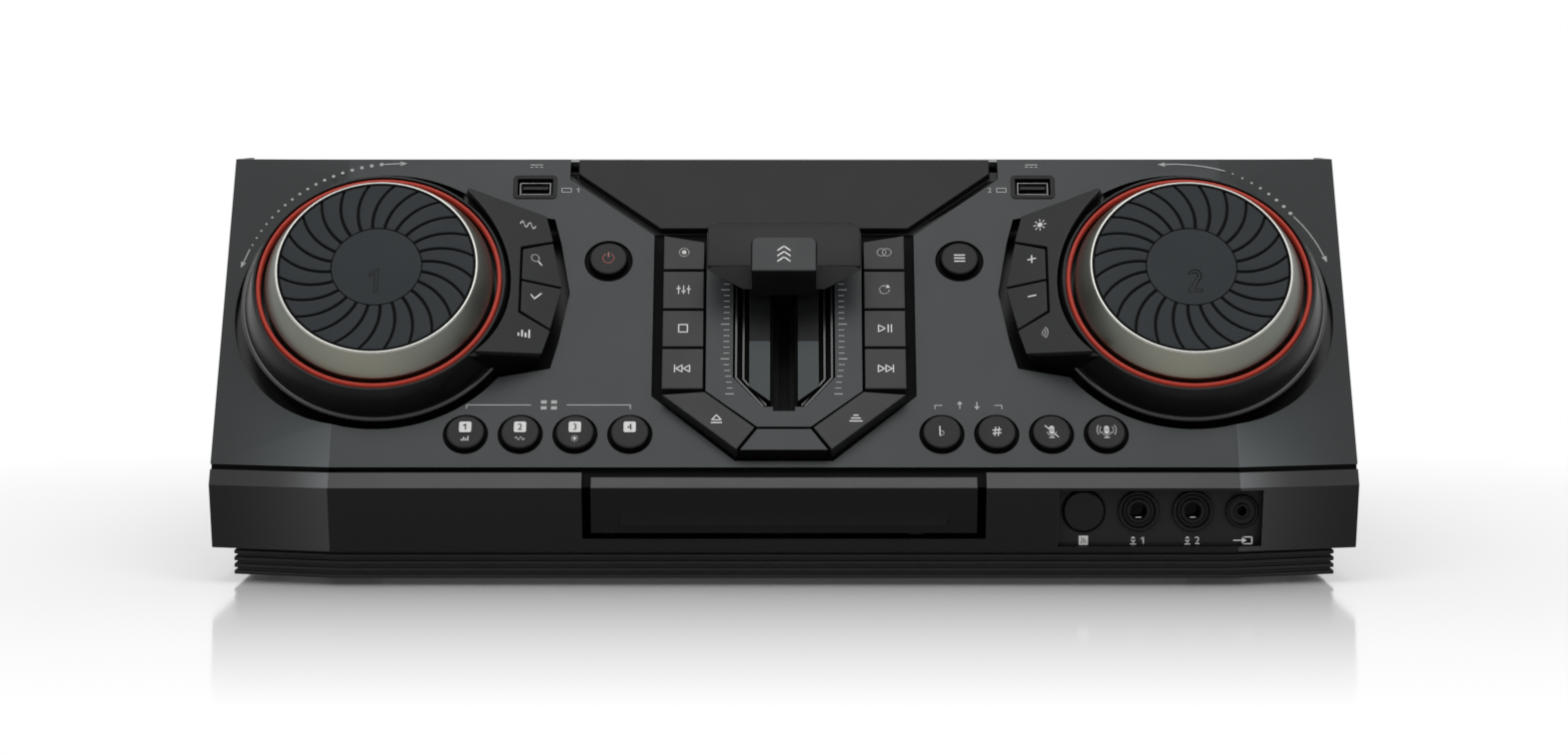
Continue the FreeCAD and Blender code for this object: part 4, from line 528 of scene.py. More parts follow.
def repainted(piece, where, rules):
    back = where.inverted()
    turn = back.to_3x3().normalized()
    for material, _ in rules:
        piece.data.materials.append(material)
    for face in piece.data.polygons:
        spot, facing = back @ face.center, turn @ face.normal
        for index, (_, test) in enumerate(rules):
            if test(spot, facing):
                face.material_index = index + 1


# A profile that starts on the axis ends there too, and any other is closed into a ring.
def turned(profile, edge, steps=96):
    shape = bmesh.new()
    spots = [shape.verts.new((reach, 0, rise)) for reach, rise in profile]
    pairs = list(zip(spots, spots[1:]))
    if profile[0][0] > 0:
        pairs.append((spots[-1], spots[0]))
    for pair in pairs:
        shape.edges.new(pair)
    bmesh.ops.spin(shape, geom=shape.verts[:] + shape.edges[:], cent=(0, 0, 0), axis=(0, 0, 1), angle=2 * pi,
                   steps=steps, use_merge=True)
    bmesh.ops.remove_doubles(shape, verts=shape.verts, dist=WELD)
    bmesh.ops.recalc_face_normals(shape, faces=shape.faces)
    rounded_over(shape, edge, TURNED_STEPS, TURNED_ANGLE)
    return shape


def set_in(shape, where):
    bmesh.ops.transform(shape, matrix=where, verts=shape.verts)
    return shape


def turned_piece(name, node, profile, where, material, edge):
    piece = finished(name, set_in(turned(profile, edge), where), material, body_of(node))
    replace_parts(piece, node)


def trim_ring(name, profile, where, material, slot, edge, steps):
    finished(name, set_in(turned(profile, edge, steps), where), material, "cabinet", slot)


def add_plate(shape, outline, rise=0.0):
    shape.faces.new([shape.verts.new((x, y, rise)) for x, y in outline]).normal_update()


def plate(outline, rise=0.0):
    shape = bmesh.new()
    add_plate(shape, outline, rise)
    return shape


def deepened(shape, depth):
    walls = bmesh.ops.extrude_face_region(shape, geom=shape.faces[:], use_keep_orig=True)
    low = [part for part in walls["geom"] if isinstance(part, bmesh.types.BMVert)]
    bmesh.ops.translate(shape, vec=(0, 0, -depth), verts=low)
    bmesh.ops.recalc_face_normals(shape, faces=shape.faces)


def lowest_of(shape):
    return min(vertex.co.z for vertex in shape.verts)


def quarter(x, y, radius, start, steps):
    angles = [radians(start + 90 * step / steps) for step in range(steps + 1)]
    return [(x + radius * cos(angle), y + radius * sin(angle)) for angle in angles]


def rounded_corners(half_x, half_y, corner):
    spots = []
    for turn, (sign_x, sign_y) in enumerate(((1, 1), (-1, 1), (-1, -1), (1, -1))):
        spots += quarter(sign_x * (half_x - corner), sign_y * (half_y - corner), corner, 90 * turn, 6)
    return spots


# Print: flat figures in millimetres, gathered in one shape and laid on what carries them.

INK_THICK = 0.05
INK_LIFT = 0.02
INK_OVER = 0.06


class Ink:
    def __init__(self):
        self.shape = bmesh.new()

    def bar(self, start, end, width):
        along = Vector(end) - Vector(start)
        middle = (Vector(start) + Vector(end)) / 2
        place = (Matrix.Translation((*middle, 0)) @ Matrix.Rotation(atan2(along.y, along.x), 4, "Z")
                 @ Matrix.Diagonal((along.length / 2, width / 2, 1, 1)))
        bmesh.ops.create_grid(self.shape, x_segments=1, y_segments=1, size=1, matrix=place)

    def disc(self, centre, radius, corners=28):
        bmesh.ops.create_circle(self.shape, cap_ends=True, segments=corners, radius=radius,
                                matrix=Matrix.Translation((*centre, 0)))

    def path(self, spots, width):
        for start, end in zip(spots, spots[1:]):
            self.bar(start, end, width)
        for spot in spots:
            self.disc(spot, width / 2, 14)

    def ring(self, spots, width):
        self.path([*spots, spots[0]], width)

    def arc(self, centre, radius, start, end, width, far_radius=None):
        steps = max(4, int(abs(end - start) / 4))
        far_radius = far_radius or radius
        spots = []
        for index in range(steps + 1):
            share = index / steps
            angle = radians(start + (end - start) * share)
            reach = radius + (far_radius - radius) * share
            spots.append((centre[0] + reach * cos(angle), centre[1] + reach * sin(angle)))
        self.path(spots, width)
        return spots

    def tip(self, start, end, length, width):
        along = (Vector(end) - Vector(start)).normalized()
        side = Vector((-along.y, along.x)) * width / 2
        root = Vector(end)
        add_plate(self.shape, [root + side, root - side, root + along * length])

    def square(self, half, corner):
        add_plate(self.shape, rounded_corners(half, half, corner))

    def numeral(self, text, centre, height):
        if text == "1":
            self.one(centre, height)
        else:
            self.figure(text, centre, height)

    def one(self, centre, height):
        x, y = centre
        width = height * 0.17
        stem = x + width / 4
        rise = (height - width) / 2
        self.path([(x - height * 0.24, y + height * 0.22), (stem, y + rise), (stem, y - rise)], width)

    def figure(self, text, centre, height):
        curve = bpy.data.curves.new("figure", "FONT")
        curve.body = text
        holder = bpy.data.objects.new("figure", curve)
        mesh = bpy.data.meshes.new_from_object(holder)
        bpy.data.objects.remove(holder)
        bpy.data.curves.remove(curve)
        spots = [vertex.co for vertex in mesh.vertices]
        size = height / (max(spot.y for spot in spots) - min(spot.y for spot in spots))
        middle = Vector((*middle_of(spots), 0))
        mesh.transform(Matrix.Translation((*centre, 0)) @ Matrix.Scale(size, 4) @ Matrix.Translation(-middle))
        self.shape.from_mesh(mesh)
        bpy.data.meshes.remove(mesh)

    def lay(self, name, where, material, body, slot, lift=INK_LIFT):
        for face in self.shape.faces:
            face.normal_update()
            if face.normal.z < 0:
                face.normal_flip()
        bmesh.ops.solidify(self.shape, geom=self.shape.faces, thickness=INK_THICK)
        set_in(self.shape, shifted(where, 0, 0, lift - lowest_of(self.shape)))
        finished(name, self.shape, material, body, slot)


# Marks for the keys, each drawn round its own middle.

def draw_record(ink):
    ink.arc((0, 0), 2.1, 0, 360, 0.5)
    ink.disc((0, 0), 1.0)


def draw_equaliser(ink):
    for x, knob in ((-2.2, 0.7), (0, -0.8), (2.2, 0.3)):
        ink.bar((x, -2.2), (x, 2.2), 0.45)
        ink.bar((x - 0.85, knob), (x + 0.85, knob), 0.7)


def draw_stop(ink):
    ink.ring([(-1.9, -1.9), (1.9, -1.9), (1.9, 1.9), (-1.9, 1.9)], 0.55)


def draw_skip(ink, way):
    for start in (-3.1, 0.2):
        ink.ring([(way * start, -1.7), (way * start, 1.7), (way * (start + 2.7), 0)], 0.5)
    ink.bar((way * 3.4, -1.95), (way * 3.4, 1.95), 0.5)


def draw_skip_back(ink):
    draw_skip(ink, -1)


def draw_skip_forward(ink):
    draw_skip(ink, 1)


def draw_twin(ink):
    ink.arc((-1.0, 0), 1.9, 0, 360, 0.48)
    ink.arc((1.3, 0), 1.9, 0, 360, 0.48)


def draw_loop(ink):
    spots = ink.arc((0, 0), 2.1, 60, 350, 0.5)
    ink.tip(spots[1], spots[0], 1.6, 2.0)


def draw_play(ink):
    ink.ring([(-2.8, -1.75), (-2.8, 1.75), (0.1, 0)], 0.5)
    ink.bar((1.4, -2.0), (1.4, 2.0), 0.55)
    ink.bar((2.8, -2.0), (2.8, 2.0), 0.55)


def draw_eject(ink):
    ink.ring([(-2.0, -0.3), (2.0, -0.3), (0, 2.0)], 0.5)
    ink.bar((-2.3, -1.6), (2.3, -1.6), 0.55)


def draw_lines(ink):
    for row in (-1.5, 0, 1.5):
        ink.bar((-2.3, row), (2.3, row), 0.6)


def draw_mode(ink):
    for row, reach in ((1.5, 1.2), (0, 2.2), (-1.5, 3.0)):
        ink.bar((-reach, row), (reach, row), 0.6)


def draw_chevrons(ink):
    for rise in (-2.4, 0, 2.4):
        ink.path([(-2.3, rise - 0.9), (0, rise + 0.9), (2.3, rise - 0.9)], 0.6)


def draw_power(ink):
    ink.arc((0, 0), 2.3, 125, 415, 0.5)
    ink.bar((0, 0.5), (0, 3.0), 0.5)


def draw_flat(ink):
    ink.bar((-0.9, -1.9), (-0.9, 2.7), 0.5)
    ink.arc((-0.3, -0.7), 1.05, 100, -80, 0.5)
    ink.path([(-0.1, -1.75), (-0.9, -1.95)], 0.5)


def draw_sharp(ink):
    for x in (-0.75, 0.75):
        ink.bar((x - 0.25, -2.3), (x + 0.25, 2.3), 0.42)
    for y in (-0.8, 0.8):
        ink.bar((-1.9, y - 0.2), (1.9, y + 0.2), 0.55)


def draw_microphone(ink):
    ink.disc((0, 1.7), 1.1)
    ink.bar((0, -0.1), (0, 1.7), 2.2)
    ink.disc((0, -0.1), 1.1)
    ink.arc((0, 0), 1.95, 190, 350, 0.4)
    ink.bar((0, -1.9), (0, -3.0), 0.4)
    ink.bar((-1.2, -3.0), (1.2, -3.0), 0.4)


def draw_voice_off(ink):
    draw_microphone(ink)
    ink.path([(-2.8, 2.9), (2.8, -2.7)], 0.5)


def draw_voice_waves(ink):
    draw_microphone(ink)
    for reach in (2.9, 4.1):
        ink.arc((0, 0.8), reach, -32, 32, 0.42)
        ink.arc((0, 0.8), reach, 148, 212, 0.42)


def draw_wave(ink):
    spots = [(step * 0.3 - 3, 1.2 * sin(step * 0.3 * 2 * pi / 3)) for step in range(21)]
    ink.path(spots, 0.45)


def draw_search(ink):
    ink.arc((-0.4, 0.4), 1.5, 0, 360, 0.45)
    ink.path([(0.7, -0.7), (2.2, -2.2)], 0.6)


def draw_tick(ink):
    ink.path([(-1.9, 0.1), (-0.6, -1.4), (2.0, 1.5)], 0.55)


def draw_sun(ink):
    ink.disc((0, 0), 1.0)
    for turn in range(8):
        way = Vector((cos(turn * pi / 4), sin(turn * pi / 4)))
        ink.path([way * 1.6, way * 2.4], 0.4)


def draw_minus(ink):
    ink.bar((-1.7, 0), (1.7, 0), 0.55)


def draw_plus(ink):
    draw_minus(ink)
    ink.bar((0, -1.7), (0, 1.7), 0.55)


def draw_echo(ink):
    for reach in (0.9, 1.9, 2.9):
        ink.arc((-1.4, 0), reach, -48, 48, 0.45)


def draw_bars(ink):
    for x, rise in ((-2.1, 1.4), (-0.7, 2.9), (0.7, 2.0), (2.1, 3.6)):
        ink.bar((x, -1.8), (x, rise - 1.8), 0.7)


# The numerals of the dials hang in outline below the middle.

NUMERAL_LINE = 0.42


def draw_dial_one(ink):
    flag = [(-3.0, -3.9), (0.0, -1.6), (0.9, -1.6)]
    stem = [(0.9, -12.2), (-0.4, -12.2), (-0.4, -3.4)]
    ink.ring([*flag, *stem, (-2.3, -4.9)], NUMERAL_LINE)


def draw_dial_two(ink):
    bow = (1.1, -4.3)
    outer = ink.arc(bow, 2.7, 165, -30, NUMERAL_LINE)
    inner = ink.arc(bow, 1.25, 150, -30, NUMERAL_LINE)
    ink.path([(-1.5, -3.6), (0.05, -3.6), *inner], NUMERAL_LINE)
    foot = [(0.6, -10.9), (3.9, -10.9), (3.9, -12.2), (-1.7, -12.2), (-1.7, -11.0)]
    ink.path([outer[-1], *foot, (2.18, -4.93)], NUMERAL_LINE)


def stamped(name, node, draw, place, material=INK_WHITE, size=1.0):
    ink = Ink()
    draw(ink)
    bmesh.ops.scale(ink.shape, vec=(size, size, 1), verts=ink.shape.verts)
    ink.lay(name, place, material, body_of(node), slot_of(node))


def marked(node, draw, material=INK_WHITE, drop=(0, 0), size=1.0):
    spot = top_of(node, PANEL)
    place = shifted(PANEL, spot.x + drop[0], spot.y + drop[1], spot.z)
    stamped(f"{node}_mark", node, draw, place, material, size)


# Dials, their pads, rings and skirts.

# Shaded and highlit tones of the dial metal; the painted highlight fan mixes between them.
DIAL_SHADED = (0.13, 0.142, 0.13)
DIAL_HIGHLIT = (0.27, 0.268, 0.215)
DIAL_MARKS = {"left": draw_dial_one, "right": draw_dial_two}
PETALS = 24
PETAL_NEAR = 18.8
PETAL_FAR = 39.8
PETAL_GAP = 0.66
PETAL_BEND = 15.0
PETAL_CURL = 1.6
PETAL_THICK = 1.1
PAD_FLOOR = 24.2
PAD_FOOT = PAD_FLOOR + 0.6
PAD_TOP = 26.0
HUB_TOP = PAD_TOP - 0.1
GROOVE_TOP = PAD_TOP - 0.9
SKIRT_PROFILE = [(0, 22.4), (40.72, 22.4), (40.72, 25.5), (41.9, 25.5), (47.2, 15.0), (47.2, 6.6),
                 (44.6, 6.6), (44.6, 14.6), (39.2, 20.6), (0, 20.6)]
RIM_PROFILE = [(40.75, 25.4), (40.75, 26.05), (41.1, 26.2), (41.45, 26.15), (41.88, 25.5), (41.85, 25.4)]
LIP_PROFILE = [(56.6, -0.7), (58.4, -0.7), (58.4, 0.1), (57.7, 0.8), (56.6, 0.8)]
SKIN_PROFILE = [(57.1, 0.05), (52.3, 14.62), (51.6, 14.62), (51.6, 14.0), (56.2, 0.05)]
RING_PROFILE = [(48.9, 11.9), (50.75, 11.9), (50.75, 14.0), (50.3, 14.8), (49.4, 14.9), (48.9, 14.3)]
FLOOR_PROFILE = [(0, PAD_FLOOR), (40.5, PAD_FLOOR), (40.5, GROOVE_TOP), (40.1, GROOVE_TOP), (0, GROOVE_TOP)]
HUB_PROFILE = [(0, PAD_FOOT), (18.4, PAD_FOOT), (18.4, HUB_TOP), (0, HUB_TOP)]
EDGE_PROFILE = [(39.9, PAD_FOOT), (40.5, PAD_FOOT), (40.5, PAD_TOP), (39.9, PAD_TOP)]


def petal(bend):
    shape = bmesh.new()
    bmesh.ops.create_grid(shape, x_segments=4, y_segments=9, size=0.5)
    for vertex in shape.verts:
        share = vertex.co.y + 0.5
        reach = PETAL_NEAR + (PETAL_FAR - PETAL_NEAR) * share
        half = pi / PETALS - PETAL_GAP / reach
        angle = vertex.co.x * 2 * half + radians(bend) * share ** PETAL_CURL
        vertex.co = (reach * cos(angle), reach * sin(angle), PAD_TOP)
    bmesh.ops.recalc_face_normals(shape, faces=shape.faces)
    deepened(shape, PETAL_THICK)
    brow = [side for side in sharp_edges(shape, 60)
            if all(vertex.co.z > PAD_TOP - CAD_WELD for vertex in side.verts)]
    bevelled(shape, brow, 0.3, 2)
    return shape


def dial_set(side, way):
    where = dial_frame(side)
    dial = f"{side}_dial"
    pad = f"{side}_dial_pad"
    housing = f"{side}_dial_housing"
    metal = turned_metal(f"{side}_dial_metal", DIAL_SHADED, DIAL_HIGHLIT, where)
    turned_piece(f"{side}_dial_skirt", dial, SKIRT_PROFILE, where, metal, 0.25)
    turned_piece(f"{side}_dial_rim", dial, RIM_PROFILE, where, RIM_BRIGHT, 0.06)
    # The collar lip's light grey is a painted highlight along the collar's base edge.
    turned_piece(f"{side}_collar_lip", housing, LIP_PROFILE, where, HIGHLIGHT_GREY, 0.2)
    trim_ring(f"{side}_collar_skin", SKIN_PROFILE, where, SKIRT_BLACK, slot_of(housing), 0.3, 160)
    # The pad's floor and edge ring are near-black: painted shade between and round the petals.
    turned_piece(f"{side}_pad_floor", pad, FLOOR_PROFILE, where, GROOVE_SHADE_BLACK, 0.1)
    turned_piece(f"{side}_pad_hub", pad, HUB_PROFILE, where, PAD_RUBBER, 0.15)
    turned_piece(f"{side}_pad_edge", pad, EDGE_PROFILE, where, GROOVE_SHADE_BLACK, 0.15)
    shape = petal(way * PETAL_BEND)
    bmesh.ops.spin(shape, geom=shape.verts[:] + shape.edges[:] + shape.faces[:], cent=(0, 0, 0),
                   axis=(0, 0, 1), angle=2 * pi * (PETALS - 1) / PETALS, steps=PETALS - 1, use_duplicate=True)
    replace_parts(finished(f"{side}_pad_petals", set_in(shape, where), PAD_RUBBER, body_of(pad)), pad)
    stamped(f"{side}_dial_numeral", pad, DIAL_MARKS[side], shifted(where, 0, 0, HUB_TOP), INK_BLACK)
    turned_piece(f"{side}_light_ring", "dial_light_rings", RING_PROFILE, where, RING_RED, 0.25)


# Round buttons with a black ring in the groove round each, partly a black gasket and partly painted shade in the
# groove.

LARGE_BUTTONS = ["power_button", "function_button"]
SMALL_BUTTONS = [f"{kind}_button_{index}" for kind in ("pad", "tone") for index in range(1, 5)]
LARGE_GROOVE = 10.05
SMALL_GROOVE = 9.2
GASKET_AND_SHADE_WIDTH = 1.75


def button_set():
    for label in LARGE_BUTTONS + SMALL_BUTTONS:
        spot = top_of(label, PANEL)
        outer = LARGE_GROOVE if label in LARGE_BUTTONS else SMALL_GROOVE
        inner = outer - GASKET_AND_SHADE_WIDTH
        cap = softened(label, 0.4, BUTTON_GREY, steps=3)
        # The caps' side walls are painted near-black as painted shade, so they read as part of the ring.
        repainted(cap, PANEL, [(GROOVE_SHADE_BLACK, lambda spot, facing: facing.z < 0.45)])
        profile = [(inner, -1.18), (outer, -1.18), (outer, 0.02), (outer - 0.25, 0.02), (outer - 0.45, -0.95),
                   (inner, -1.0)]
        place = shifted(PANEL, spot.x, spot.y)
        trim_ring(f"{label}_gasket_and_shade", profile, place, GROOVE_SHADE_BLACK, "front_black", 0.08, 72)


# Jacks, sensor and the frames round the USB sockets.

JACK_PROUD = 2.2
MIC_SPOTS = (8.4, 30.5)
AUX_SPOT = -6.8
AUX_PRINT = -6.0
JACK_PRINT_RISE = 19.2
CONTACT = Matrix.Translation((0, -2.7, -1.6)) @ Matrix.Diagonal((2.4, 0.5, 3.2, 1))
MIC_PROFILE = [(0, -14.5), (3.25, -14.5), (3.25, 0.9), (3.9, 1.5), (4.7, 1.5), (5.2, 0.9), (5.2, 0.5),
               (6.1, 0.4), (7.2, 2.0), (7.7, 2.18), (8.1, 2.0), (8.4, 1.3), (8.4, 0.02), (6.0, 0.02),
               (6.0, -17.9), (0, -17.9)]
AUX_PROFILE = [(0, -14.5), (1.8, -14.5), (1.8, 0.9), (2.2, 1.3), (2.8, 1.3), (3.1, 0.7), (3.6, 0.5),
               (5.2, 0.6), (5.8, 2.0), (6.2, 2.18), (6.8, 1.4), (6.8, 0.02), (6.0, 0.02), (6.0, -17.9),
               (0, -17.9)]
SENSOR_PROFILE = [(0, -8.9), (6.0, -8.9), (6.0, 0.02), (8.35, 0.02), (8.35, 0.9), (7.7, 1.35), (0, 1.4)]
SENSOR_RING = [(8.38, 0.02), (9.0, 0.02), (9.0, 0.35), (8.38, 0.35)]


def jack_floor(x=0.0, z=0.0):
    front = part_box("front_jacks")[0].y
    return placed(Vector((x * MM, front + JACK_PROUD * MM, z * MM)), ACROSS, -REARWARD)


def jack_set():
    sensor_low, sensor_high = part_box("sensor_window")
    sensor = (sensor_low + sensor_high) / 2 / MM
    place = jack_floor(sensor.x, sensor.z)
    turned_piece("sensor_lens", "sensor_window", SENSOR_PROFILE, place, SKIRT_BLACK, 0.25)
    trim_ring("sensor_ring", SENSOR_RING, place, GROOVE_SHADE_BLACK, "jack_black", 0.1, 72)
    low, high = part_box("front_jacks")
    axis_z = (low.z + high.z) / 2 / MM
    mics = [low.x / MM + spot for spot in MIC_SPOTS]
    for label, x in zip(("mic_jack_one", "mic_jack_two"), mics):
        where = jack_floor(x, axis_z)
        turned_piece(f"{label}_shell", "front_jacks", MIC_PROFILE, where, FRONT_BLACK, 0.12)
        strip = bmesh.new()
        bmesh.ops.create_cube(strip, size=1, matrix=CONTACT)
        rounded_over(strip, 0.15, 2, 40)
        finished(f"{label}_contact", set_in(strip, where), SOCKET_STEEL, "cabinet", "socket_metal")
    turned_piece("aux_jack_shell", "front_jacks", AUX_PROFILE, jack_floor(high.x / MM + AUX_SPOT, axis_z),
                 FRONT_BLACK, 0.12)
    print_on_jacks(sensor.x, mics, high.x / MM + AUX_PRINT)


def print_on_jacks(sensor_x, mics, aux_x):
    rise = JACK_PRINT_RISE
    place = jack_floor(sensor_x, rise)
    badge = Ink()
    badge.square(1.9, 0.2)
    badge.lay("sensor_badge", place, INK_WHITE, "cabinet", "jack_black")
    wave = Ink()
    root = (-0.9, -0.9)
    wave.disc(root, 0.3, 12)
    for reach in (1.0, 1.8):
        wave.arc(root, reach, 0, 90, 0.3)
    wave.lay("sensor_badge_wave", shifted(place, 0, 0, INK_OVER), INK_BLACK, "cabinet", "jack_black")
    marks = Ink()
    for text, mic_x in zip("12", mics):
        x = mic_x - 2.1
        marks.disc((x, rise + 0.75), 0.8, 14)
        marks.bar((x, rise - 0.4), (x, rise + 0.75), 1.6)
        marks.bar((x, rise - 1.5), (x, rise - 0.4), 0.45)
        marks.bar((x - 1.2, rise - 1.5), (x + 1.2, rise - 1.5), 0.45)
        marks.numeral(text, (mic_x + 1.9, rise), 3.1)
    marks.bar((aux_x - 4.2, rise), (aux_x - 0.6, rise), 0.5)
    marks.tip((aux_x - 4.2, rise), (aux_x - 0.7, rise), 2.0, 2.4)
    far = aux_x + 3.4
    marks.path([(aux_x, rise + 1.4), (far, rise + 1.4), (far, rise - 1.4), (aux_x, rise - 1.4)], 0.5)
    marks.lay("jack_print", jack_floor(), INK_WHITE, "cabinet", "jack_black")


USB_FRAME = (9.3, 5.9, 2.0)
USB_RIM = 1.9
USB_THICK = 0.5
USB_SINK = 0.05
USB_MOUTH_X = 6.05
USB_MOUTH_Y = 2.55


def usb_set():
    sockets = softened("usb_sockets", 0.12, SOCKET_STEEL)
    spots = [on_panel(vertex.co) for vertex in frame["nodes"]["usb_sockets"].data.vertices]
    across, up = middle_of([spot for spot in spots if spot.x > 0])
    repainted(sockets, PANEL, [
        (TRACK_BLACK, lambda spot, facing: abs(abs(spot.x) - across) < USB_MOUTH_X
         and abs(spot.y - up) < USB_MOUTH_Y)])
    for side, way in SIDES.items():
        shape = plate(rounded_corners(*USB_FRAME))
        inside = shape.faces[:]
        bmesh.ops.inset_region(shape, faces=inside, thickness=USB_RIM, use_even_offset=True,
                               use_boundary=True)
        bmesh.ops.delete(shape, geom=inside, context="FACES")
        bmesh.ops.solidify(shape, geom=shape.faces[:], thickness=USB_THICK)
        rounded_over(shape, 0.24, 2, 50)
        place = shifted(PANEL, way * across, up, -USB_SINK - lowest_of(shape))
        # The frame's sides and bevel are light grey as a painted highlight; its top is repainted front black.
        rim = finished(f"{side}_usb_frame", set_in(shape, place), HIGHLIGHT_GREY, "cabinet", "front_black")
        repainted(rim, PANEL, [(FRONT_BLACK, lambda spot, facing: facing.z > 0.9)])


# Sockets and print at the rear. Its print is drawn as seen from behind, so x runs the other way.

PHONO_SPOTS = (("phono_left", 142, PHONO_WHITE), ("phono_right", 158, PHONO_RED))
PHONO_RISE = 100
PHONO_COLLAR = [(2.4, -0.3), (4.95, -0.3), (4.95, 0.5), (2.4, 0.5)]
PHONO_SLEEVE = [(1.3, -8), (2.4, -8), (2.4, 0.4), (1.3, 0.4)]
INLET_X = 150
INLET_RISE = 44
INLET_PRINT_RISE = 60
SPEAKER_PRINT = (168.5, 131.5)
SPEAKER_PRINT_RISE = 69.5


def rear_set():
    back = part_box("rear_sockets")[1].y / MM
    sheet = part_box("rear_panel")[1].y / MM
    sockets = softened("rear_sockets", 0.25, PLINTH_BLACK)
    repainted(sockets, WORLD, [
        (SOCKET_STEEL, lambda spot, facing: abs(abs(spot.x - INLET_X) - 5.5) < 1.7
         and abs(spot.z - INLET_RISE) < 1.7 and back - 11 < spot.y < back - 1.5)])
    ink = Ink()
    for label, x, colour in PHONO_SPOTS:
        where = placed(Vector((x, back, PHONO_RISE)) * MM, -ACROSS, REARWARD)
        trim_ring(f"{label}_collar", PHONO_COLLAR, where, colour, "socket_black", 0.2, 64)
        trim_ring(f"{label}_sleeve", PHONO_SLEEVE, where, SOCKET_STEEL, "socket_metal", 0.1, 48)
        ink.arc((-x, PHONO_RISE), 7.6, 0, 360, 0.4)
    wave = [(step * 0.6 - 3, 1.3 * sin(step * 0.2 * pi)) for step in range(11)]
    ink.path([(x - INLET_X, INLET_PRINT_RISE + y) for x, y in wave], 0.5)
    rise = SPEAKER_PRINT_RISE
    for x in SPEAKER_PRINT:
        for spot in (x - 8, x + 8):
            ink.bar((spot - 1.6, rise), (spot + 1.6, rise), 0.5)
        ink.bar((x - 8, rise - 1.6), (x - 8, rise + 1.6), 0.5)
    place = placed(Vector((0, sheet * MM, 0)), -ACROSS, REARWARD)
    ink.lay("rear_print", place, INK_SOFT, "cabinet", "cover_black", lift=-0.04)


# Stage: pale floor, backdrop, soft lamps and the camera.

WHITE = (1, 1, 1, 1)
FLOOR_HALF = 6
FLOOR_GREY = (0.86, 0.86, 0.86, 1)
SHADOW_FADE = 3.2
SHADOW_SHARE = 0.97
SKY_STRENGTH = 0.45
LAMP_AIM = Vector((0, -0.1, 0.1))
LAMPS = (("key_softbox", (0, -0.75, 1.5), (1.4, 0.9), 12),
         ("left_softbox", (-1.2, -1.35, 0.8), (0.9, 1.1), 3.5),
         ("right_softbox", (1.2, -1.35, 0.8), (0.9, 1.1), 3.5),
         ("rear_softbox", (0, 1.6, 1.1), (1.6, 0.8), 5))
CAMERA_LENS = 91.72
CAMERA_SENSOR = 36
CAMERA_SPOT = Vector((0, -1614.9, 149.7))
CAMERA_DIP = 4


def pale_floor():
    half = [(high - low) / 2 for low, high in zip(cad_low, cad_high)]
    floor = paint("floor_pale")
    x, y, _ = floor.parts(floor.place)
    past_x = (abs(x) - half[0]).most(0.0)
    past_y = (abs(y) - half[1]).most(0.0)
    away = (past_x * past_x + past_y * past_y) ** 0.5
    near = (1 - away * SHADOW_FADE).most(0.0)
    shine = floor.add("ShaderNodeBsdfPrincipled", {}, {"Base Color": FLOOR_GREY, "Roughness": 0.1,
                                                       "Specular IOR Level": 0.5})
    white = floor.add("ShaderNodeEmission", {}, {"Color": WHITE, "Strength": 1.0})
    share = floor.background_rays() * (1 - near * SHADOW_SHARE)
    mixed = floor.add("ShaderNodeMixShader", {}, {0: share, 1: shine, 2: white})
    floor.add("ShaderNodeOutputMaterial", {}, {"Surface": mixed})
    shape = bmesh.new()
    bmesh.ops.create_grid(shape, x_segments=1, y_segments=1, size=FLOOR_HALF)
    ground = made("floor", shape, floor.owner)


def softbox(name, spot, size, power):
    lamp = bpy.data.lights.new(name, "AREA")
    lamp.shape = "RECTANGLE"
    lamp.size, lamp.size_y = size
    lamp.energy = power
    holder = shown(name, lamp)
    holder.location = spot
    holder.rotation_euler = (LAMP_AIM - Vector(spot)).to_track_quat("-Z", "Y").to_euler()


def studio():
    scene = bpy.context.scene
    scene.view_settings.view_transform = "Standard"
    pale_floor()
    scene.world = bpy.data.worlds.new("studio_world")
    sky = Finish(scene.world)
    dim = sky.add("ShaderNodeBackground", {}, {"Color": WHITE, "Strength": SKY_STRENGTH})
    white = sky.add("ShaderNodeBackground", {}, {"Color": WHITE, "Strength": 1.0})
    mixed = sky.add("ShaderNodeMixShader", {}, {0: sky.background_rays(), 1: dim, 2: white})
    sky.add("ShaderNodeOutputWorld", {}, {"Surface": mixed})
    for lamp in LAMPS:
        softbox(*lamp)
    lens = bpy.data.cameras.new("camera")
    lens.lens = CAMERA_LENS
    lens.sensor_width = CAMERA_SENSOR
    camera = shown("camera", lens)
    camera.location = PANEL.to_translation() + CAMERA_SPOT * MM
    camera.rotation_euler = (radians(90 - CAMERA_DIP), 0, 0)
    scene.camera = camera


# Shells, and the tests that pick which of their faces get another finish; most of those finishes are painted
# highlight or painted shade.

TRAY_HALF = 82
RECESS_START = 108
RECESS_END = 198
OPENING_HEAD = 41.2
BEVEL_FOOT = 41
LOADER_FRONT = -120
COLLAR_REACH = 58.5
SPLIT_START = 84
CAP_CORNER = 5.2
CAP_THICK = 3.4
CAP_PROUD = 0.05
TAB_CORNER = 3.0
WELL_HALF = 20.9
WELL_HEAD = 105.4
WELL_TURN = 39.3
WELL_FOOT = (9.0, 25.2)
RIDGE_HALF = 0.4
RIDGE_FOOT = -1.9
RIDGES = (("outer", 1.2, 4.4), ("inner", 4.2, 1.2))
SEAM_SHADE_THICK = 2.9
SEAM_SHADE_DROP = 2.7


def tab_corner(first, second):
    upright = (first.xy - second.xy).length < 0.3
    return upright and 12 < abs(first.x) < 14.5 and first.y > 92 and first.z > 20


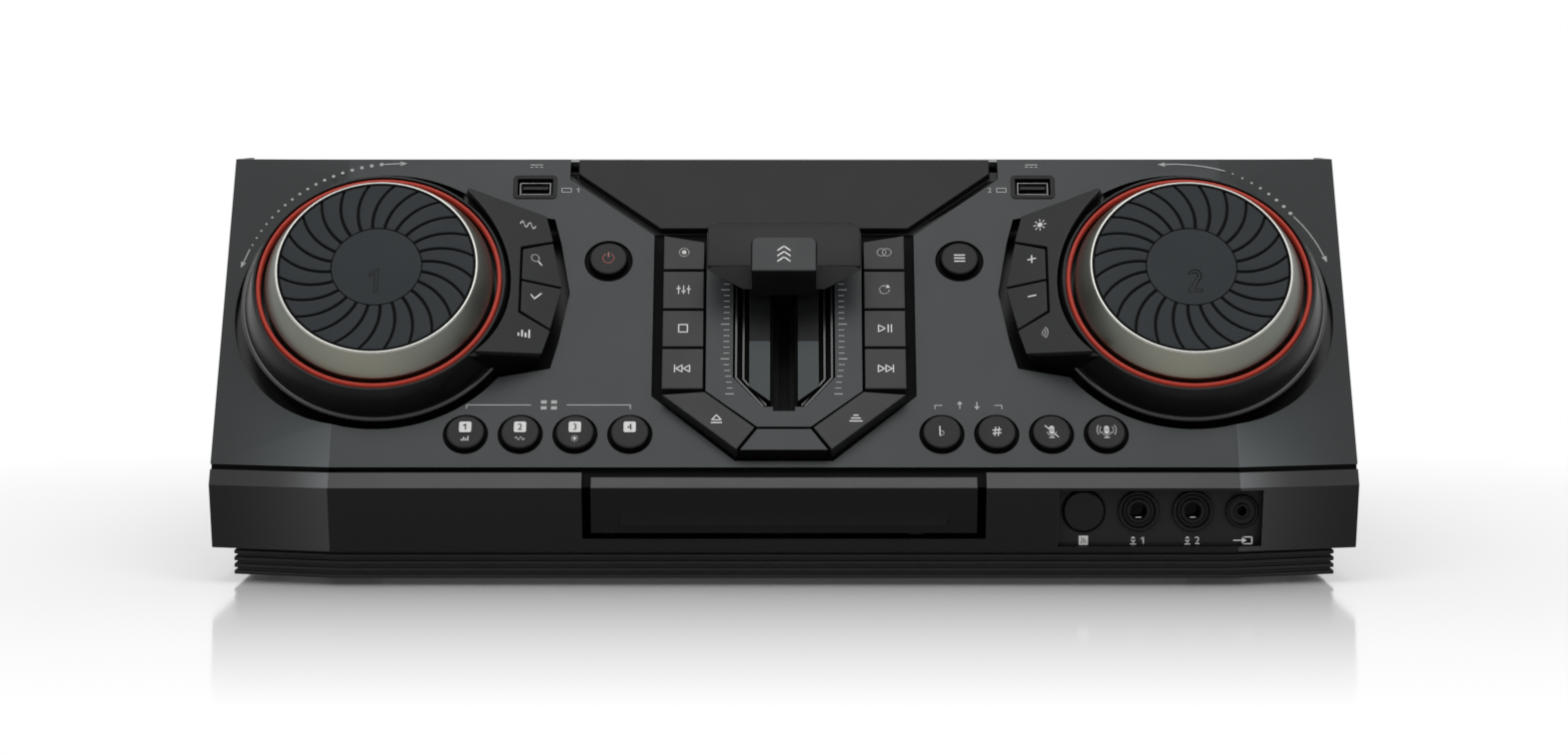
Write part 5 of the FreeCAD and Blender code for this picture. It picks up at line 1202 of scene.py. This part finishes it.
# The place across where the bezel's two solids meet has the most wall area facing along it.
def bezel_split():
    counts = {}
    for face in frame["nodes"]["front_bezel"].data.polygons:
        place = face.center.x / MM
        if abs(face.normal.x) > 0.999 and SPLIT_START < place < RECESS_START:
            counts[round(place, 2)] = counts.get(round(place, 2), 0) + face.area
    return max(counts, key=counts.get)


# Panel walls below the surface, in its grooves and moats, are painted near-black as painted shade.
def in_panel_groove(spot, facing):
    shallow = spot.z < -0.45 and facing.z < 0.9 and abs(spot.x) < FOLD_HALF + 40
    deep = spot.z < -0.9 and abs(spot.x) < FOLD_HALF
    return (shallow or deep) and spot.y > 3 and facing.y < 0.6


# Bezel faces past the fold, which take the painted fold highlight.
def beyond_fold(spot, facing):
    return abs(spot.x) > FOLD_HALF and facing.y < -0.3 and facing.z < 0.3


# Upward-facing bevel faces, painted lighter as a painted highlight from above.
def on_bevel(spot, facing):
    return facing.z > 0.3 and facing.y < -0.2 and spot.z > BEVEL_FOOT


# Bezel faces set back behind the panel over the tray notch, painted near-black as painted shade.
def behind_panel(spot, facing):
    return on_panel(WORLD @ spot).z < -1.0 and spot.z > 40 and abs(spot.x) < TRAY_HALF


# Slanted lip faces of the tray notch and jack recess, painted light grey as a painted highlight along the edge.
def on_opening_lip(spot, facing):
    in_opening = abs(spot.x) < TRAY_HALF or RECESS_START < spot.x < RECESS_END
    slanted = facing.y < -0.25 and max(abs(facing.x), facing.z) > 0.3
    return in_opening and slanted and spot.z < OPENING_HEAD


# Ridges round the lever well, coloured light grey: the colour is a painted highlight line along the well's edges.
def well_frame():
    for side, way in SIDES.items():
        for label, inset, head in RIDGES:
            turn = inset * 0.42
            wall = WELL_HALF - inset
            foot_x, foot_y = WELL_FOOT
            plan = [Vector((wall, WELL_HEAD)), Vector((wall, WELL_TURN + turn)),
                    Vector((foot_x - turn, foot_y + inset * 0.8))]
            ridge = bmesh.new()
            for start, end in zip(plan, plan[1:]):
                along = (end - start).normalized()
                aside = Vector((-along.y, along.x)) * RIDGE_HALF
                corners = [start + aside, end + aside, end - aside, start - aside]
                add_plate(ridge, [(way * x, y) for x, y in corners], head)
            deepened(ridge, head - RIDGE_FOOT)
            finished(f"{side}_well_{label}_ridge", set_in(ridge, PANEL), HIGHLIGHT_GREY, "cabinet", "cabinet_grey")


def lever_cap():
    spots = [on_panel(vertex.co) for vertex in frame["nodes"]["lever_handle"].data.vertices]
    crown = [spot for spot in spots if spot.z > 20 and abs(spot.x) > 20]
    half = max(spot.x for spot in crown)
    foot = min(spot.y for spot in crown) + CAP_PROUD
    head = max(spot.y for spot in crown)
    top = max(spot.z for spot in crown) + CAP_PROUD
    outline = [(-half, foot), (half, foot)]
    for way, start in ((1, 0), (-1, 90)):
        outline += quarter(way * (half - CAP_CORNER), head - CAP_CORNER, CAP_CORNER, start, 10)
    cap = plate(outline, top)
    deepened(cap, CAP_THICK)
    rounded_over(cap, 0.5, 3, 50)
    finished("lever_cap", set_in(cap, PANEL), LEVER_BLACK, body_of("lever_handle"), slot_of("lever_handle"))


# Near-black sheets behind the seam at each end where the bezel folds back: painted shade in the gap under the
# panel.
def seam_liners():
    low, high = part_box("control_panel")
    front, foot = low.y / MM, low.z / MM
    end = high.x / MM
    for side, way in SIDES.items():
        plan = [(FOLD_HALF, front + 1.2), (end - 0.3, front + 15.9), (end - 0.3, front + 52),
                (end - 1.5, front + 52), (end - 1.5, front + 16.8), (FOLD_HALF, front + 2.3)]
        shape = plate([(way * x, y) for x, y in plan])
        bmesh.ops.solidify(shape, geom=shape.faces[:], thickness=SEAM_SHADE_THICK)
        place = shifted(WORLD, 0, 0, foot - SEAM_SHADE_DROP - lowest_of(shape))
        finished(f"{side}_seam_shade", set_in(shape, place), GROOVE_SHADE_BLACK, "cabinet", "front_black")


def dial_side(side, way):
    middle = on_panel(dial_frame(side).to_translation())
    housing = softened(f"{side}_dial_housing", 0.5, SKIRT_BLACK)
    # Housing faces beyond the collar that face sideways are painted near-black: painted shade on the pod flanks.
    repainted(housing, PANEL, [
        (GROOVE_SHADE_BLACK, lambda spot, facing: (spot - middle).xy.length > COLLAR_REACH and facing.z < 0.5)])
    softened(f"{side}_rocker_key", 0.4, KEY_GREY)
    dial_set(side, way)
    for index in (1, 2):
        softened(f"{side}_pod_key_{index}", 0.4, KEY_GREY)
    for index in range(1, 5):
        softened(f"{side}_column_key_{index}", 0.45, KEY_GREY)


def shells():
    repainted(softened("control_panel", 0.5, PANEL_GREY), PANEL, [(GROOVE_SHADE_BLACK, in_panel_groove)])
    # Bezel faces past the fold, on the top bevel and on the opening lips take painted highlight colours; those set
    # behind the panel take painted shade.
    repainted(softened("front_bezel", 0.5, FRONT_BLACK, split=bezel_split()), WORLD, [
        (FOLD_LIT_BLACK, beyond_fold), (LIT_STRIP_GREY, on_bevel), (GROOVE_SHADE_BLACK, behind_panel),
        (HIGHLIGHT_GREY, on_opening_lip)])
    # The tray door's top bevel takes the same painted highlight.
    repainted(softened("tray_door", 0.4, DOOR_BLACK), WORLD, [(LIT_STRIP_GREY, on_bevel)])
    softened("display_window", 0.5, WINDOW_BLACK)
    softened("base_plinth", 0.3, PLINTH_BLACK)
    softened("top_cover", 0.35, COVER_PAINT)
    softened("rear_panel", 0.2, COVER_PAINT)
    # The console's lower faces, between the keys and in the well, are near-black as painted shade; the bars, track
    # edges and grey top are painted over it.
    repainted(softened("centre_console", 0.5, GROOVE_SHADE_BLACK), PANEL, [
        # The bars beside the slot take the painted lever shadow.
        (BAR_LEVER_SHADOW, lambda spot, facing: 5.6 < abs(spot.x) < 14.5 and spot.z > 2.8 and facing.z > 0.9),
        (TRACK_BLACK, lambda spot, facing: 4.5 < abs(spot.x) < 5.7 and 2.4 < spot.z < 3.6),
        (PANEL_GREY, lambda spot, facing: spot.z > 5.2)])
    well_frame()
    # The lever's lower forward faces take the lighter painted-light copy of its black.
    repainted(softened("lever_handle", 0.6, LEVER_BLACK, steps=3, corner=(tab_corner, TAB_CORNER)), PANEL, [
        (LEVER_UNDER_LIT, lambda spot, facing: facing.y < -0.2 and abs(spot.x) > 13.4 and spot.z > 8),
        (TAB_GREY, lambda spot, facing: spot.z > 26.4 and facing.z > 0.5)])
    lever_cap()
    softened("jack_plate", 0.2, JACK_FLOOR, depth=jack_floor().to_translation().y / MM)
    seam_liners()
    for side, way in SIDES.items():
        dial_side(side, way)
    for label in ("eject_key", "mode_key"):
        softened(label, 0.45, KEY_GREY)
    dressed("feet", FOOT_RUBBER)
    dressed("case_screws", SCREW_STEEL)
    dressed("bottom_chassis", CHASSIS_STEEL)
    dressed("control_board", BOARD_DARK)
    dressed("main_board", BOARD_GREEN)
    dressed("power_supply", CHASSIS_STEEL)
    rear_set()
    for label in ("loader_frame", "disc_tray", "tray_gear", "disc_turntable", "optical_pickup",
                  "fan_frame", "fan_rotor"):
        dressed(label, LOADER_GREY)
    # The fronts of the loader and tray gear, seen through the gap round the tray door, are painted near-black as
    # painted shade.
    for label in ("loader_frame", "tray_gear"):
        repainted(frame["nodes"][label], WORLD, [(GROOVE_SHADE_BLACK, lambda spot, facing: spot.y < LOADER_FRONT)])


# Print on the keys, the pads and the panel, in the panel's own millimetres.

COLUMN_MARKS = {"left": (draw_record, draw_equaliser, draw_stop, draw_skip_back),
                "right": (draw_twin, draw_loop, draw_play, draw_skip_forward)}
TONE_MARKS = (draw_flat, draw_sharp, draw_voice_off, draw_voice_waves)
POD_MARKS = {"left": (draw_wave, draw_search, draw_tick, draw_bars),
             "right": (draw_sun, draw_plus, draw_minus, draw_echo)}
POD_SPOTS = ((109, 111), (104.5, 95), (104, 77), (109, 58))
POD_RISE = 5
PAD_NOTES = (draw_bars, draw_wave, draw_sun)
BADGE_RISE = 2.2
NOTE_DROP = 3.2


def key_print():
    for side, draws in COLUMN_MARKS.items():
        for index, draw in enumerate(draws, 1):
            marked(f"{side}_column_key_{index}", draw, size=0.95)
    marked("eject_key", draw_eject, drop=(3.5, 0.5))
    marked("mode_key", draw_mode, drop=(-1.7, 1), size=0.9)
    marked("lever_handle", draw_chevrons, size=1.1)
    marked("power_button", draw_power, POWER_PINK)
    marked("function_button", draw_lines)
    for index, draw in enumerate(TONE_MARKS, 1):
        marked(f"tone_button_{index}", draw, size=0.95)
    for side, draws in POD_MARKS.items():
        where = pod_frame(side)
        nodes = [f"{side}_rocker_key", f"{side}_pod_key_1", f"{side}_pod_key_2", f"{side}_rocker_key"]
        for index, (node, draw, (u, v)) in enumerate(zip(nodes, draws, POD_SPOTS), 1):
            spot = where.inverted() @ (PANEL @ Vector((SIDES[side] * u, v, POD_RISE)))
            place = shifted(where, spot.x, spot.y, top_of(node, where).z)
            stamped(f"{side}_pod_mark_{index}", node, draw, place, size=1.1)


def pad_print():
    for index in range(1, 5):
        label = f"pad_button_{index}"
        spot = top_of(label, PANEL)
        place = shifted(PANEL, spot.x, spot.y + BADGE_RISE, spot.z)
        stamped(f"{label}_badge", label, lambda ink: ink.square(2.5, 0.8), place)
        stamped(f"{label}_digit", label, lambda ink: ink.numeral(str(index), (0, 0), 2.9),
                shifted(place, 0, 0, INK_OVER), INK_BLACK)
        if index <= len(PAD_NOTES):
            place = shifted(PANEL, spot.x, spot.y - NOTE_DROP, spot.z)
            stamped(f"{label}_note", label, PAD_NOTES[index - 1], place, size=0.62)


def bracket(ink, start, stop, resume, end, head, foot):
    ink.path([(start, foot), (start, head), (stop, head)], 0.42)
    ink.path([(resume, head), (end, head), (end, foot)], 0.42)


def group_print():
    ink = Ink()
    bracket(ink, -130, -103.6, -88.9, -62.9, 29.4, 27.6)
    for column in (-98.4, -94.2):
        for row in (28.0, 30.8):
            ink.bar((column - 1.2, row), (column + 1.2, row), 1.6)
    bracket(ink, 61.8, 64.7, 86.3, 89.2, 29.2, 27.5)
    for x, rise in ((72.0, 1.0), (79.0, -1.0)):
        ink.bar((x, 29.2 - rise * 1.6), (x, 29.2 + rise * 0.6), 0.45)
        ink.tip((x, 29.2), (x, 29.2 + rise * 0.5), 1.6, 2.4)
    for way, digit in ((-1, "1"), (1, "2")):
        ink.numeral(digit, (way * 87.0, 135.0), 2.4)
        ink.ring([(way * 90.0, 134.0), (way * 94.0, 134.0), (way * 94.0, 136.0), (way * 90.0, 136.0)], 0.35)
        ink.bar((way * 105 - 2.6, 147.9), (way * 105 + 2.6, 147.9), 0.4)
        for step in (-2.0, 0, 2.0):
            ink.bar((way * 105 + step - 0.6, 146.7), (way * 105 + step + 0.6, 146.7), 0.4)
    ink.lay("panel_print", PANEL, INK_SOFT, "cabinet", "cabinet_grey")


ARROW_LINE = 0.5
ARROW_LONG = 3.0
ARROW_WIDE = 2.2
DOT_TURN = 3.4


def scale_of_dots(ink, centre, start, end):
    count = int(abs(end[0] - start[0]) / DOT_TURN)
    for index in range(count + 1):
        share = index / count
        angle = radians(start[0] + (end[0] - start[0]) * share)
        reach = start[1] + (end[1] - start[1]) * share
        ink.disc((centre.x + reach * cos(angle), centre.y + reach * sin(angle)), 0.4 + 0.45 * share, 16)


def dial_print():
    arcs = Ink()
    left = top_of("left_dial_pad", PANEL)
    right = top_of("right_dial_pad", PANEL)
    scale_of_dots(arcs, left, (154, 61.9), (93, 68.0))
    for start, end, root in (((-224.1, 105.1), (-226.4, 98.2), (-226.2, 98.8)),
                             ((-169.8, 148.2), (-162.2, 148.6), (-163.0, 148.5))):
        arcs.path([start, end], ARROW_LINE)
        arcs.tip(start, root, ARROW_LONG, ARROW_WIDE)
    arcs.arc((right.x, right.y), 68.2, 95, 73, ARROW_LINE, 67.5)
    arcs.tip((right.x, right.y + 67.9), (right.x - 5.6, right.y + 67.9), ARROW_LONG, ARROW_WIDE)
    scale_of_dots(arcs, right, (70, 67.2), (43, 63.2))
    spots = arcs.arc((right.x, right.y), 63, 41, 20, ARROW_LINE, 62.6)
    arcs.tip(spots[-2], spots[-1], ARROW_LONG, ARROW_WIDE)
    arcs.lay("dial_print", PANEL, INK_SOFT, "cabinet", "cabinet_grey")


TICKS = 26
TICK_FOOT = 31.1
TICK_PITCH = 2.794
TICK_NEAR = 22.5
LONG_TICK = (26.0, 0.42)
SHORT_TICK = (24.9, 0.32)


def lever_print():
    ticks = Ink()
    for step in range(TICKS):
        v = TICK_FOOT + TICK_PITCH * step
        inset = max(0.0, 45 - v) * 0.14
        far, width = SHORT_TICK if step % 6 else LONG_TICK
        for way in SIDES.values():
            ticks.bar((way * (TICK_NEAR - inset), v), (way * (far - inset), v), width)
    top = top_of("centre_console", PANEL).z
    ticks.lay("lever_print", shifted(PANEL, 0, 0, top), INK_SOFT, "cabinet", "cabinet_grey")


shells()
jack_set()
usb_set()
button_set()
key_print()
pad_print()
group_print()
dial_print()
lever_print()
studio()
